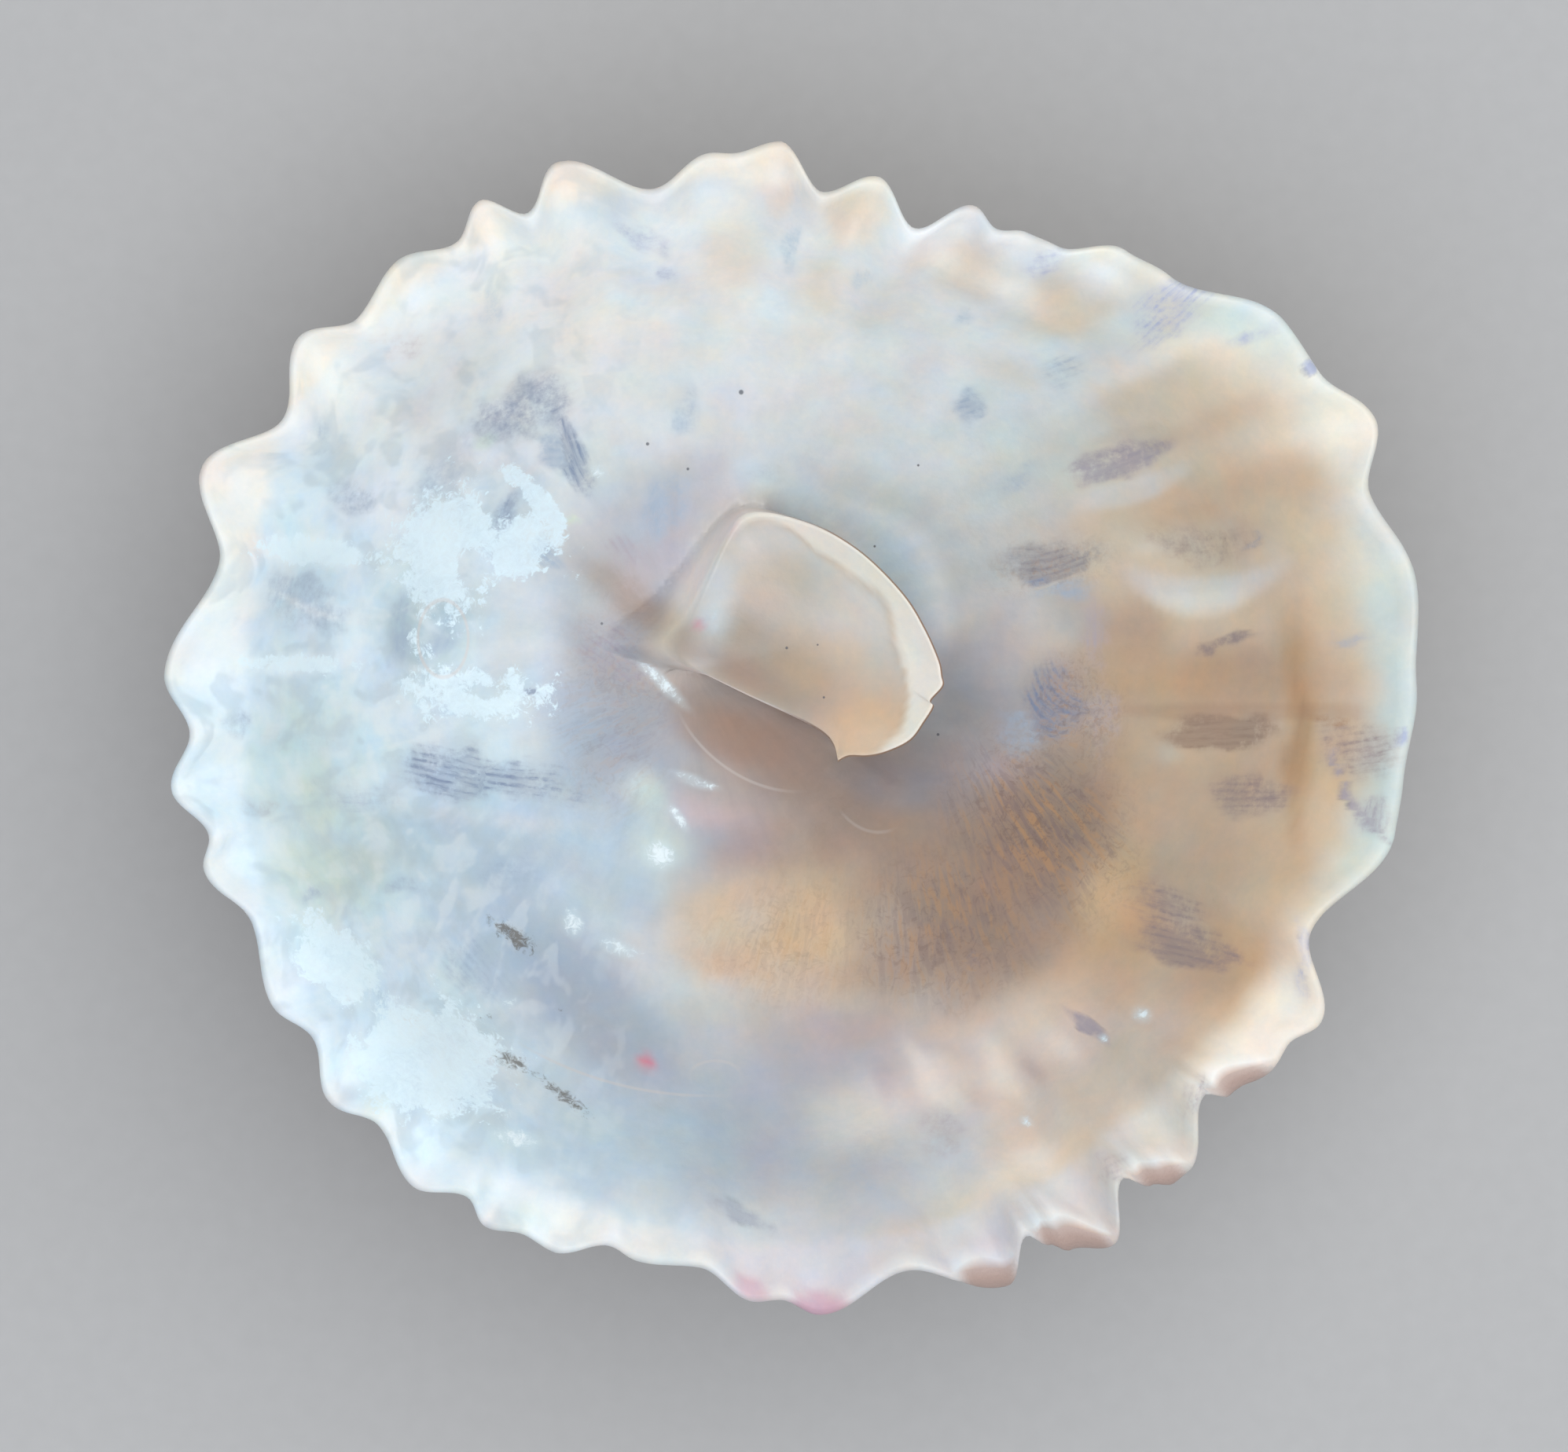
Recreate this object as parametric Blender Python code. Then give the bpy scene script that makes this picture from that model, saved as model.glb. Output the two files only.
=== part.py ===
"""Cup-and-saucer shell, lying on its worn apex with the open side up, at its real size."""

import math

import bmesh
import bpy
from mathutils import Vector

# Every length below is in millimetres, and a mesh is written in metres
MILLIMETRE = 0.001

# Seen from above, from the middle of the worn spot that the shell rests on
APEX = Vector((-0.9, 0.6))
OUTLINE_CENTRE = Vector((2.5, -1.7))

# The margin about the outline centre: bearing in degrees, reach, and fold,
# which is 1 on the crest of a rib and -1 in the gap between two ribs
MARGIN = (
    (4.0, 20.0, 0.5),
    (14.0, 20.5, 1.0),
    (22.0, 19.9, -1.0),
    (28.0, 21.1, 1.0),
    (34.0, 20.3, -0.7),
    (39.5, 20.4, 0.7),
    (50.0, 18.8, -0.7),
    (55.0, 18.6, 0.8),
    (61.0, 17.55, -0.8),
    (64.5, 17.5, 0.3),
    (67.5, 17.2, -0.6),
    (70.5, 17.65, 0.7),
    (76.0, 16.4, -1.0),
    (81.0, 17.8, 1.0),
    (86.5, 17.1, -1.0),
    (91.0, 18.7, 1.0),
    (95.5, 18.4, 0.4),
    (98.0, 18.5, 0.5),
    (104.0, 17.7, -1.0),
    (112.5, 19.5, 1.0),
    (117.0, 18.4, -1.0),
    (120.5, 19.5, 1.0),
    (124.5, 18.75, -0.9),
    (130.0, 19.45, 1.0),
    (136.5, 18.95, -0.9),
    (141.5, 20.0, 1.0),
    (148.5, 18.9, -1.0),
    (156.0, 20.5, 1.0),
    (164.0, 18.9, -1.0),
    (175.0, 20.0, 1.0),
    (180.5, 19.1, -1.0),
    (185.5, 19.8, 1.0),
    (190.5, 18.8, -0.9),
    (193.5, 19.2, 0.8),
    (200.0, 18.2, -0.9),
    (208.0, 18.7, 0.9),
    (213.0, 18.1, -0.9),
    (219.0, 18.9, 0.9),
    (224.0, 18.2, -0.9),
    (230.5, 18.9, 0.9),
    (235.5, 18.1, -0.9),
    (238.5, 18.6, 0.8),
    (242.5, 18.2, -0.6),
    (245.5, 18.3, 0.6),
    (251.0, 17.45, -0.8),
    (254.0, 17.65, 0.6),
    (260.5, 17.4, -0.8),
    (266.5, 18.3, 0.7),
    (269.0, 18.2, 0.3),
    (273.0, 18.7, 1.0),
    (282.0, 17.65, -1.0),
    (291.5, 19.1, 1.0),
    (295.0, 17.8, -1.0),
    (302.0, 19.45, 1.0),
    (306.5, 17.8, -1.0),
    (312.0, 19.0, 1.0),
    (318.5, 17.6, -1.0),
    (325.0, 18.85, 0.6),
    (327.5, 18.8, 0.5),
    (331.0, 19.35, 1.0),
    (338.5, 17.8, -1.0),
    (350.0, 19.55, 0.9),
    (355.0, 19.6, 0.4),
)

# Rib ends that curl below the rim: first and last bearing, and reach beyond the rim
CURLED_RIBS = (
    (285.5, 292.5, 1.1),
    (295.5, 303.5, 1.2),
    (307.0, 315.0, 1.1),
    (319.0, 329.0, 1.0),
)
LIP_REACH = 0.25
CURL_SLOPE = 0.85

# Height of the inner and the outer face against the share of the way to the margin
INNER_PROFILE = (
    (0.0, 1.1),
    (0.25, 1.6),
    (0.5, 3.6),
    (0.72, 6.9),
    (0.86, 10.0),
    (0.92, 10.9),
    (1.0, 11.6),
)
OUTER_PROFILE = (
    (0.0, 0.0),
    (0.26, 0.0),
    (0.4, 1.15),
    (0.55, 2.85),
    (0.72, 5.5),
    (0.86, 8.6),
    (0.95, 10.3),
    (1.0, 11.3),
)

# The scallops fade out inwards from the margin
SCALLOPS_FROM = 0.6
SCALLOPS_SPREAD = 12.0

# Folds of the wall that carry the ribs, deepest near the margin at the lower right
FOLD_DEPTH = 0.3
FOLDS_FROM = 0.5
STRONG_FOLD_DEPTH = 0.5
STRONG_FOLDS_FROM = 0.76
STRONG_FOLD_MIDDLE = 308.0
STRONG_FOLD_HALF_WIDTH = 34.0

# Ribs outside: rounded, worn away towards the apex, and stepped at each growth check
RIB_HEIGHT = 0.75
RIBS_FROM = 0.28
GROWTH_CHECKS = (0.44, 0.59, 0.74, 0.87, 1.0)
STEP_LENGTH = 0.015
STEP_HEIGHT = 0.22
KNOB_HEIGHT = 0.42

# Dimples of the inner face: place from above, depth, and half-width
DIMPLES = (
    (Vector((15.5, 4.0)), 0.45, 1.5),
    (Vector((13.1, 7.0)), 0.3, 1.3),
    (Vector((16.8, -2.6)), 0.3, 1.3),
    (Vector((15.1, -8.0)), 0.35, 1.3),
    (Vector((4.6, 14.7)), 0.3, 1.0),
    (Vector((0.4, 13.0)), 0.25, 1.0),
    (Vector((11.4, 12.0)), 0.3, 1.2),
)

# Rings of the mesh, as shares of the way from the apex to the margin
INNER_RINGS = (1.0, 0.96, 0.92, 0.88, 0.83, 0.77, 0.7, 0.62, 0.54, 0.46, 0.38, 0.3, 0.22, 0.14, 0.07)
OUTER_RINGS = (1.0, 0.96, 0.92, 0.885, 0.87, 0.81, 0.755, 0.74, 0.67, 0.605, 0.59, 0.52, 0.455, 0.44,
               0.36, 0.26)
SPOKE_GAP = 2.9
HALF_SPOKES_BELOW = 0.5
QUARTER_SPOKES_BELOW = 0.2

# Rim of the half-cup from its lower tip round by the right: place from above, height,
# how far its foot flares out over the floor, and how far it is joined to the floor
CUP_RIM = (
    (4.1, -2.75, 4.9, 0.0, 0.0),
    (4.9, -2.5, 5.0, 0.0, 0.0),
    (5.6, -2.5, 5.15, 0.0, 0.0),
    (6.5, -2.0, 5.4, 0.0, 0.0),
    (7.1, -0.9, 5.75, 0.0, 0.0),
    (7.4, -0.2, 5.95, 0.0, 0.0),
    (7.1, 0.5, 6.05, 0.0, 0.0),
    (6.4, 1.7, 6.15, 0.0, 0.0),
    (5.4, 3.1, 6.1, 0.0, 0.0),
    (3.9, 4.2, 5.85, 0.0, 0.0),
    (2.6, 4.8, 5.45, 0.3, 0.4),
    (0.9, 5.1, 4.85, 1.3, 1.0),
    (0.0, 3.65, 4.1, 1.6, 1.0),
    (-0.45, 2.45, 3.4, 2.0, 1.0),
    (-0.7, 1.8, 2.95, 2.6, 1.0),
    (-1.2, 1.0, 2.3, 3.2, 1.0),
    (-0.9, 0.4, 2.05, 0.9, 0.6),
    (-0.1, 0.05, 2.3, 0.0, 0.0),
    (1.4, -0.7, 2.95, 0.0, 0.0),
    (3.1, -1.65, 3.8, 0.0, 0.0),
    (3.8, -2.05, 4.3, 0.0, 0.0),
)
CUP_MIDDLE = Vector((4.1, 1.0))
CUP_RINGS = (0.25, 0.5, 0.7, 0.87, 1.0)
CUP_POINTS_PER_SPAN = 3
CUP_WALL = 0.5
CUP_EDGE_ROUND = 0.1
CUP_DISH_POWER = 2.2
CUP_JOINED_FROM = 0.35

# The trough of the half-cup climbs from this point at its root towards the far rim
TROUGH_ROOT = Vector((-0.4, 1.3))
TROUGH_DIRECTION = Vector((0.94, 0.34))
TROUGH_HEIGHT = 2.1
TROUGH_RISE = 0.33
TROUGH_CURVE = 0.025
FOOT_DEPTH = 0.4
FOOT_STEPS = (0.3, 0.6, 0.85)

ARAGONITE_COLOUR = (0.78, 0.74, 0.70, 1.0)
ARAGONITE_ROUGHNESS = 0.35


def smooth_step(low, high, value):
    """Rise smoothly from 0 at low to 1 at high."""
    share = min(max((value - low) / (high - low), 0.0), 1.0)
    return share * share * (3.0 - 2.0 * share)


def through_stations(stations, place):
    """Follow a smooth curve through stations of place and height."""
    last = len(stations) - 1
    index = 0
    while index < last - 1 and place > stations[index + 1][0]:
        index += 1
    before = stations[max(index - 1, 0)]
    start = stations[index]
    end = stations[index + 1]
    after = stations[min(index + 2, last)]
    span = end[0] - start[0]
    share = (place - start[0]) / span
    slope_in = (end[1] - before[1]) / (end[0] - before[0]) * span
    slope_out = (after[1] - start[1]) / (after[0] - start[0]) * span
    square = share * share
    cube = square * share
    return (
        (2.0 * cube - 3.0 * square + 1.0) * start[1]
        + (cube - 2.0 * square + share) * slope_in
        + (3.0 * square - 2.0 * cube) * end[1]
        + (cube - square) * slope_out
    )


def margin_at(bearing):
    """Give the reach and the fold of the margin, with rounded crests and gaps."""
    turned = (bearing - MARGIN[0][0]) % 360.0 + MARGIN[0][0]
    for index, start in enumerate(MARGIN):
        following = MARGIN[(index + 1) % len(MARGIN)]
        end_bearing = following[0] + (360.0 if index + 1 == len(MARGIN) else 0.0)
        if turned <= end_bearing:
            share = (turned - start[0]) / (end_bearing - start[0])
            blend = 0.5 - 0.5 * math.cos(math.pi * share)
            reach = start[1] + (following[1] - start[1]) * blend
            fold = start[2] + (following[2] - start[2]) * blend
            return reach, fold
    raise ValueError("bearing outside the margin")


def curl_at(bearing):
    """Give how far a curled rib end reaches beyond the rim."""
    for first, last, reach in CURLED_RIBS:
        if first < bearing < last:
            return reach * math.sin(math.pi * (bearing - first) / (last - first))
    return 0.0


def even_reach(bearing):
    """Give the reach of the margin with its scallops smoothed away."""
    steps = 12
    total = 0.0
    for step in range(-steps, steps + 1):
        total += margin_at(bearing + SCALLOPS_SPREAD * step / steps)[0]
    return total / (2 * steps + 1)


def from_centre(bearing, reach):
    """Give the point at a bearing and reach from the outline centre."""
    angle = math.radians(bearing)
    return OUTLINE_CENTRE + Vector((math.cos(angle), math.sin(angle))) * reach


def plan_point(bearing, share, inset):
    """Give the point at a share of the way from the apex to the margin, seen from above."""
    even = from_centre(bearing, even_reach(bearing) - LIP_REACH)
    scalloped = from_centre(bearing, margin_at(bearing)[0] - inset)
    scallops = smooth_step(SCALLOPS_FROM, 1.0, share)
    return APEX + (even - APEX) * share + (scalloped - even) * scallops


def fold_drop(bearing, share):
    """Give how far the wall is folded down at a rib, or up between ribs."""
    fold = margin_at(bearing)[1]
    away = abs(bearing - STRONG_FOLD_MIDDLE) / STRONG_FOLD_HALF_WIDTH
    strong = STRONG_FOLD_DEPTH * (1.0 - smooth_step(0.5, 1.0, away))
    depth = FOLD_DEPTH * smooth_step(FOLDS_FROM, 1.0, share)
    depth += strong * smooth_step(STRONG_FOLDS_FROM, 1.0, share)
    return fold * depth


def dimple_drop(place):
    """Give the depth of the dimples of the inner face at a place."""
    drop = 0.0
    for middle, depth, half_width in DIMPLES:
        away = (place - middle).length / half_width
        drop += depth * math.exp(-away * away)
    return drop


def inner_point(bearing, share):
    """Give a point of the inner face."""
    inset = LIP_REACH + curl_at(bearing)
    place = plan_point(bearing, share, inset)
    height = through_stations(INNER_PROFILE, share) - fold_drop(bearing, share) - dimple_drop(place)
    return Vector((place.x, place.y, height))


def rib_height(bearing, share):
    """Give the height of the ribs and growth steps on the outer face."""
    fold = margin_at(bearing)[1]
    crest = (0.5 + 0.5 * fold) ** 1.3
    height = RIB_HEIGHT * crest
    start = RIBS_FROM
    for check in GROWTH_CHECKS:
        if share <= check:
            along = (share - start) / (check - start)
            height += (STEP_HEIGHT + KNOB_HEIGHT * crest) * (along * along - 0.5)
            break
        start = check
    return height * smooth_step(RIBS_FROM, 0.5, share) * (1.0 - smooth_step(0.9, 1.0, share))


def outer_point(bearing, share):
    """Give a point of the outer face, worn flat where it would reach below the ground."""
    place = plan_point(bearing, share, 0.0)
    outward = from_centre(bearing, even_reach(bearing)) - APEX
    run = outward.length
    outward = outward.normalized()
    lower = through_stations(OUTER_PROFILE, share - STEP_LENGTH)
    height = through_stations(OUTER_PROFILE, share)
    slope = math.atan2(height - lower, run * STEP_LENGTH)
    ribs = rib_height(bearing, share)
    place = place + outward * ribs * math.sin(slope)
    curl = curl_at(bearing) * smooth_step(0.85, 1.0, share)
    height -= fold_drop(bearing, share) + ribs * math.cos(slope) + curl * CURL_SLOPE
    return Vector((place.x, place.y, max(height, 0.0)))


def spoke_bearings():
    """Give the bearings of the mesh's spokes: each crest and gap, and steps between them."""
    bearings = []
    for index, start in enumerate(MARGIN):
        end = MARGIN[(index + 1) % len(MARGIN)][0] + (360.0 if index + 1 == len(MARGIN) else 0.0)
        steps = max(2, math.ceil((end - start[0]) / SPOKE_GAP))
        for step in range(steps):
            bearings.append(start[0] + (end - start[0]) * step / steps)
    return bearings


def ring_bearings(bearings, share):
    """Thin the spokes out on the rings near the apex."""
    if share < QUARTER_SPOKES_BELOW:
        return bearings[::4]
    if share < HALF_SPOKES_BELOW:
        return bearings[::2]
    return bearings


def add_ring(mesh, bearings, share, point_at):
    """Add one ring of points, each kept with its bearing."""
    ring = []
    for bearing in ring_bearings(bearings, share):
        ring.append((bearing, mesh.verts.new(point_at(bearing, share) * MILLIMETRE)))
    return ring


def stitch(mesh, first, second):
    """Join two rings with triangles, also where one has fewer points."""
    here = 0
    there = 0
    while here < len(first) or there < len(second):
        corner = first[here % len(first)][1]
        across = second[there % len(second)][1]
        next_here = first[(here + 1) % len(first)][0] + 360.0 * ((here + 1) // len(first))
        next_there = second[(there + 1) % len(second)][0] + 360.0 * ((there + 1) // len(second))
        if there >= len(second) or (here < len(first) and next_here <= next_there):
            mesh.faces.new((corner, first[(here + 1) % len(first)][1], across))
            here += 1
        else:
            mesh.faces.new((corner, second[(there + 1) % len(second)][1], across))
            there += 1


def close_ring(mesh, ring, middle):
    """Close a ring with a fan of triangles round its middle."""
    centre = mesh.verts.new(middle * MILLIMETRE)
    for index, (_, vertex) in enumerate(ring):
        mesh.faces.new((vertex, ring[(index + 1) % len(ring)][1], centre))


def mesh_object(name, mesh):
    """Turn a finished closed mesh into an object with its faces pointing out."""
    bmesh.ops.recalc_face_normals(mesh, faces=mesh.faces)
    data = bpy.data.meshes.new(name)
    mesh.to_mesh(data)
    mesh.free()
    thing = bpy.data.objects.new(name, data)
    bpy.context.scene.collection.objects.link(thing)
    return thing


def build_saucer():
    """Make the ribbed bowl with its inner face, its lip and its outer face."""
    mesh = bmesh.new()
    bearings = spoke_bearings()
    rings = [add_ring(mesh, bearings, share, inner_point) for share in reversed(INNER_RINGS)]
    rings += [add_ring(mesh, bearings, share, outer_point) for share in OUTER_RINGS]
    for first, second in zip(rings, rings[1:]):
        stitch(mesh, first, second)
    close_ring(mesh, rings[0], Vector((APEX.x, APEX.y, INNER_PROFILE[0][1])))
    close_ring(mesh, rings[-1], Vector((APEX.x, APEX.y, 0.0)))
    return mesh_object("shell", mesh)


def floor_height(place):
    """Give the height of the bowl's floor below a place near the apex."""
    offset = place - APEX
    toward = place + offset - OUTLINE_CENTRE
    bearing = math.degrees(math.atan2(toward.y, toward.x)) % 360.0
    run = (from_centre(bearing, even_reach(bearing)) - APEX).length
    return through_stations(INNER_PROFILE, offset.length / run)


def trough_height(place):
    """Give the height of the half-cup's trough at a place."""
    along = (place - TROUGH_ROOT).dot(TROUGH_DIRECTION)
    return TROUGH_HEIGHT + TROUGH_RISE * along + TROUGH_CURVE * along * along


def cup_rim_point(index, share):
    """Follow the rim of the half-cup smoothly from one of its points towards the next."""
    count = len(CUP_RIM)
    before, start, end, after = (CUP_RIM[(index + step) % count] for step in (-1, 0, 1, 2))
    square = share * share
    cube = square * share
    return [
        0.5 * (
            2.0 * start[axis]
            + (end[axis] - before[axis]) * share
            + (2.0 * before[axis] - 5.0 * start[axis] + 4.0 * end[axis] - after[axis]) * square
            + (3.0 * start[axis] - before[axis] - 3.0 * end[axis] + after[axis]) * cube
        )
        for axis in range(5)
    ]


def cup_column(rim):
    """Give one column of the half-cup: up its dish, over its rim and back under it."""
    edge = Vector((rim[0], rim[1]))
    flare = max(rim[3], 0.0)
    joined = min(max(rim[4], 0.0), 1.0)
    outward = (edge - CUP_MIDDLE).normalized()
    top = []
    under = []
    for share in CUP_RINGS:
        place = CUP_MIDDLE + (edge - CUP_MIDDLE) * share
        lip = rim[2] - trough_height(edge)
        height = trough_height(place) + lip * share ** CUP_DISH_POWER
        rooted = joined * smooth_step(CUP_JOINED_FROM, 0.8, share)
        sunk = floor_height(place) - FOOT_DEPTH
        below = height - CUP_WALL + (sunk - height + CUP_WALL) * rooted
        top.append(Vector((place.x, place.y, height)))
        under.append(Vector((place.x, place.y, min(below, height - CUP_WALL))))
    side = []
    for step in FOOT_STEPS:
        bulge = CUP_EDGE_ROUND * math.sin(math.pi * step)
        place = edge + outward * (flare * step + bulge)
        foot = floor_height(edge + outward * flare) - FOOT_DEPTH * 0.5
        flared = foot + (rim[2] - foot) * (1.0 - step) ** 2
        straight = rim[2] + (under[-1].z - rim[2]) * step
        side.append(Vector((place.x, place.y, straight + (flared - straight) * joined)))
    return top + side + under[::-1]


def build_cup():
    """Make the half-cup, a scoop joined to the floor on its left and free on its right."""
    mesh = bmesh.new()
    columns = []
    for index in range(len(CUP_RIM)):
        for step in range(CUP_POINTS_PER_SPAN):
            columns.append(cup_column(cup_rim_point(index, step / CUP_POINTS_PER_SPAN)))
    count = len(columns)
    rings = []
    for level in range(len(columns[0])):
        ring = []
        for place, column in enumerate(columns):
            ring.append((360.0 * place / count, mesh.verts.new(column[level] * MILLIMETRE)))
        rings.append(ring)
    for first, second in zip(rings, rings[1:]):
        stitch(mesh, first, second)
    height = trough_height(CUP_MIDDLE)
    close_ring(mesh, rings[0], Vector((CUP_MIDDLE.x, CUP_MIDDLE.y, height)))
    close_ring(mesh, rings[-1], Vector((CUP_MIDDLE.x, CUP_MIDDLE.y, height - CUP_WALL)))
    return mesh_object("cup_helper", mesh)


def join_cup(saucer, cup):
    """Grow the half-cup onto the bowl, as one closed body."""
    union = saucer.modifiers.new("cup", "BOOLEAN")
    union.operation = "UNION"
    union.solver = "EXACT"
    union.object = cup
    cup.hide_render = True
    cup.display_type = "WIRE"


def aragonite():
    """Make the shell's own material, a glossy off-white aragonite."""
    material = bpy.data.materials.new("aragonite")
    material.use_nodes = True
    surface = material.node_tree.nodes["Principled BSDF"]
    surface.inputs["Base Color"].default_value = ARAGONITE_COLOUR
    surface.inputs["Roughness"].default_value = ARAGONITE_ROUGHNESS
    surface.inputs["Metallic"].default_value = 0.0
    return material


def main():
    for thing in list(bpy.data.objects):
        bpy.data.objects.remove(thing)
    saucer = build_saucer()
    saucer.data.materials.append(aragonite())
    saucer.data.shade_smooth()
    saucer.data.set_sharp_from_angle(angle=math.radians(50.0))
    join_cup(saucer, build_cup())


main()
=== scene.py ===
"""Looks of the cup-and-saucer shell: the ribbed saucer, the half-cup on its floor and a plain stage."""

import math
from functools import partial

import bmesh
import bpy
import numpy as np
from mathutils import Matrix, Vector
from mathutils.kdtree import KDTree


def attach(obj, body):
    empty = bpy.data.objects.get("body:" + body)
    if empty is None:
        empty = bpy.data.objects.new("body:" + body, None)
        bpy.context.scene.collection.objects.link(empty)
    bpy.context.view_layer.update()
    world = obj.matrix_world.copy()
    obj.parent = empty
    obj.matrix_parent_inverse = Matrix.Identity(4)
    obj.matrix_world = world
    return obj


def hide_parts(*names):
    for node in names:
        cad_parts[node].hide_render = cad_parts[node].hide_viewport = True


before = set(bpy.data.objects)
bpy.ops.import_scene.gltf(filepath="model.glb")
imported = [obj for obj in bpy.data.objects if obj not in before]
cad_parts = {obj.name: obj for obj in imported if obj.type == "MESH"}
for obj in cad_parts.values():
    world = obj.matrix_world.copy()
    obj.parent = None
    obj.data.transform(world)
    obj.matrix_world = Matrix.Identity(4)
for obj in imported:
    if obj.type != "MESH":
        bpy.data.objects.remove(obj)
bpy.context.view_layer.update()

bl_info = {
    "name": "Cup-and-saucer shell",
    "version": (1, 0, 0),
    "blender": (4, 5, 0),
    "location": "3D View > Sidebar > Shell",
    "description": "Grows a cup-and-saucer shell with its finishes and sets a plain stage",
    "category": "Add Mesh",
}

# Lengths in the tables are in millimetres, and a mesh is written in metres
MM = 0.001
UP = np.array((0.0, 0.0, 1.0))

# Seen from above, from the middle of the worn spot that the shell rests on
APEX = np.array((-0.9, 0.6))
OUTLINE_CENTRE = np.array((2.5, -1.7))

# The margin about the outline centre, which the solid follows too: bearing, reach, and fold,
# which is 1 on the crest of a rib and -1 in the gap between two ribs
MARGIN = np.array((
    (4, 20, 0.5), (14, 20.5, 1), (22, 19.9, -1), (28, 21.1, 1), (34, 20.3, -0.7), (39.5, 20.4, 0.7),
    (50, 18.8, -0.7), (55, 18.6, 0.8), (61, 17.55, -0.8), (64.5, 17.5, 0.3), (67.5, 17.2, -0.6),
    (70.5, 17.65, 0.7), (76, 16.4, -1), (81, 17.8, 1), (86.5, 17.1, -1), (91, 18.7, 1), (95.5, 18.4, 0.4),
    (98, 18.5, 0.5), (104, 17.7, -1), (112.5, 19.5, 1), (117, 18.4, -1), (120.5, 19.5, 1),
    (124.5, 18.75, -0.9), (130, 19.45, 1), (136.5, 18.95, -0.9), (141.5, 20, 1), (148.5, 18.9, -1),
    (156, 20.5, 1), (164, 18.9, -1), (175, 20, 1), (180.5, 19.1, -1), (185.5, 19.8, 1),
    (190.5, 18.8, -0.9), (193.5, 19.2, 0.8), (200, 18.2, -0.9), (208, 18.7, 0.9), (213, 18.1, -0.9),
    (219, 18.9, 0.9), (224, 18.2, -0.9), (230.5, 18.9, 0.9), (235.5, 18.1, -0.9), (238.5, 18.6, 0.8),
    (242.5, 18.2, -0.6), (245.5, 18.3, 0.6), (251, 17.45, -0.8), (254, 17.65, 0.6), (260.5, 17.4, -0.8),
    (266.5, 18.3, 0.7), (269, 18.2, 0.3), (273, 18.7, 1), (282, 17.65, -1), (291.5, 19.1, 1),
    (295, 17.8, -1), (296.6, 18.4, -0.2), (298.2, 18.9, 0.5), (302, 19.45, 1), (306.5, 17.8, -1),
    (308.2, 18.55, 0), (310.2, 19, 0.7), (312, 19, 1), (318.5, 17.6, -1), (320.1, 18.25, -0.1),
    (325, 18.85, 0.6), (327.5, 18.8, 0.5), (331, 19.35, 1), (338.5, 17.8, -1), (350, 19.55, 0.9),
    (355, 19.6, 0.4),
))

# Rib ends that curl below the rim: first and last bearing, and reach beyond the rim
CURLED_RIBS = ((286.5, 293.5, 0.85), (295.2, 302.8, 1.0), (306.6, 312.6, 0.75), (318.2, 325.8, 0.7))
LIP_REACH = 0.25
CURL_SLOPE = 0.85
CURLS_FROM = 0.86

# Height of the inner and the outer face against the share of the way to the margin
INNER_PROFILE = ((0.0, 1.1), (0.25, 1.6), (0.5, 3.6), (0.72, 6.9), (0.86, 10.0), (0.92, 10.9), (1.0, 11.6))
OUTER_PROFILE = ((0.0, 0.0), (0.26, 0.0), (0.4, 1.15), (0.55, 2.85), (0.72, 5.5), (0.86, 8.6),
                 (0.95, 10.3), (1.0, 11.3))

# The scallops fade out inwards from the margin
SCALLOPS_FROM = 0.7
SCALLOPS_SPREAD = 12.0

# Inside, the notches between rib ends are rounded over this many degrees up to this share of the way out
ROUNDING_SPREAD = 2.5
CRISP_FROM = 0.9

# Folds of the wall that carry the ribs, deepest near the margin at the lower right
FOLD_DEPTH = 0.28
FOLDS_FROM = 0.8
STRONG_FOLD_DEPTH = 0.5
STRONG_FOLDS_FROM = 0.87
STRONG_FOLD_MIDDLE = 308.0
STRONG_FOLD_HALF_WIDTH = 34.0

# Ribs outside, worn away towards the apex, and stepped at each growth check
RIBS_FROM = 0.28
GROWTH_CHECKS = (0.44, 0.59, 0.74, 0.87, 1.0)
STEP_LENGTH = 0.015
CHECK_WAVE = 0.006

# Dimples of the inner face: middle, half-length, half-width, turn in degrees and depth
DIMPLES = (
    (15.5, 4.1, 2.3, 1.5, 3, 0.5), (13.2, 7.1, 2, 0.9, 17, 0.32), (16.8, -2.6, 1.9, 1.7, 0, 0.3),
    (15.1, -8, 1.9, 1.6, -12, 0.35), (4.6, 14.6, 1.1, 0.9, 0, 0.3), (0.5, 13.1, 1.3, 1.2, 0, 0.24),
    (3.4, 12.9, 1, 0.9, 0, 0.16), (8.3, 13.2, 1.9, 0.8, -22, 0.24), (11.5, 12, 1.7, 1, -8, 0.3),
    (-3.2, 12.2, 1.4, 1.5, 70, 0.18), (9.9, -13, 1.6, 0.9, -50, 0.25), (7.6, -14.2, 1.2, 0.8, -60, 0.2),
    (12.4, -11.2, 1.3, 0.7, -40, 0.2), (-13, 2.3, 1.5, 1.4, 0, 0.16), (-9.4, 1.4, 1.2, 1.6, 0, 0.12),
)

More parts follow.
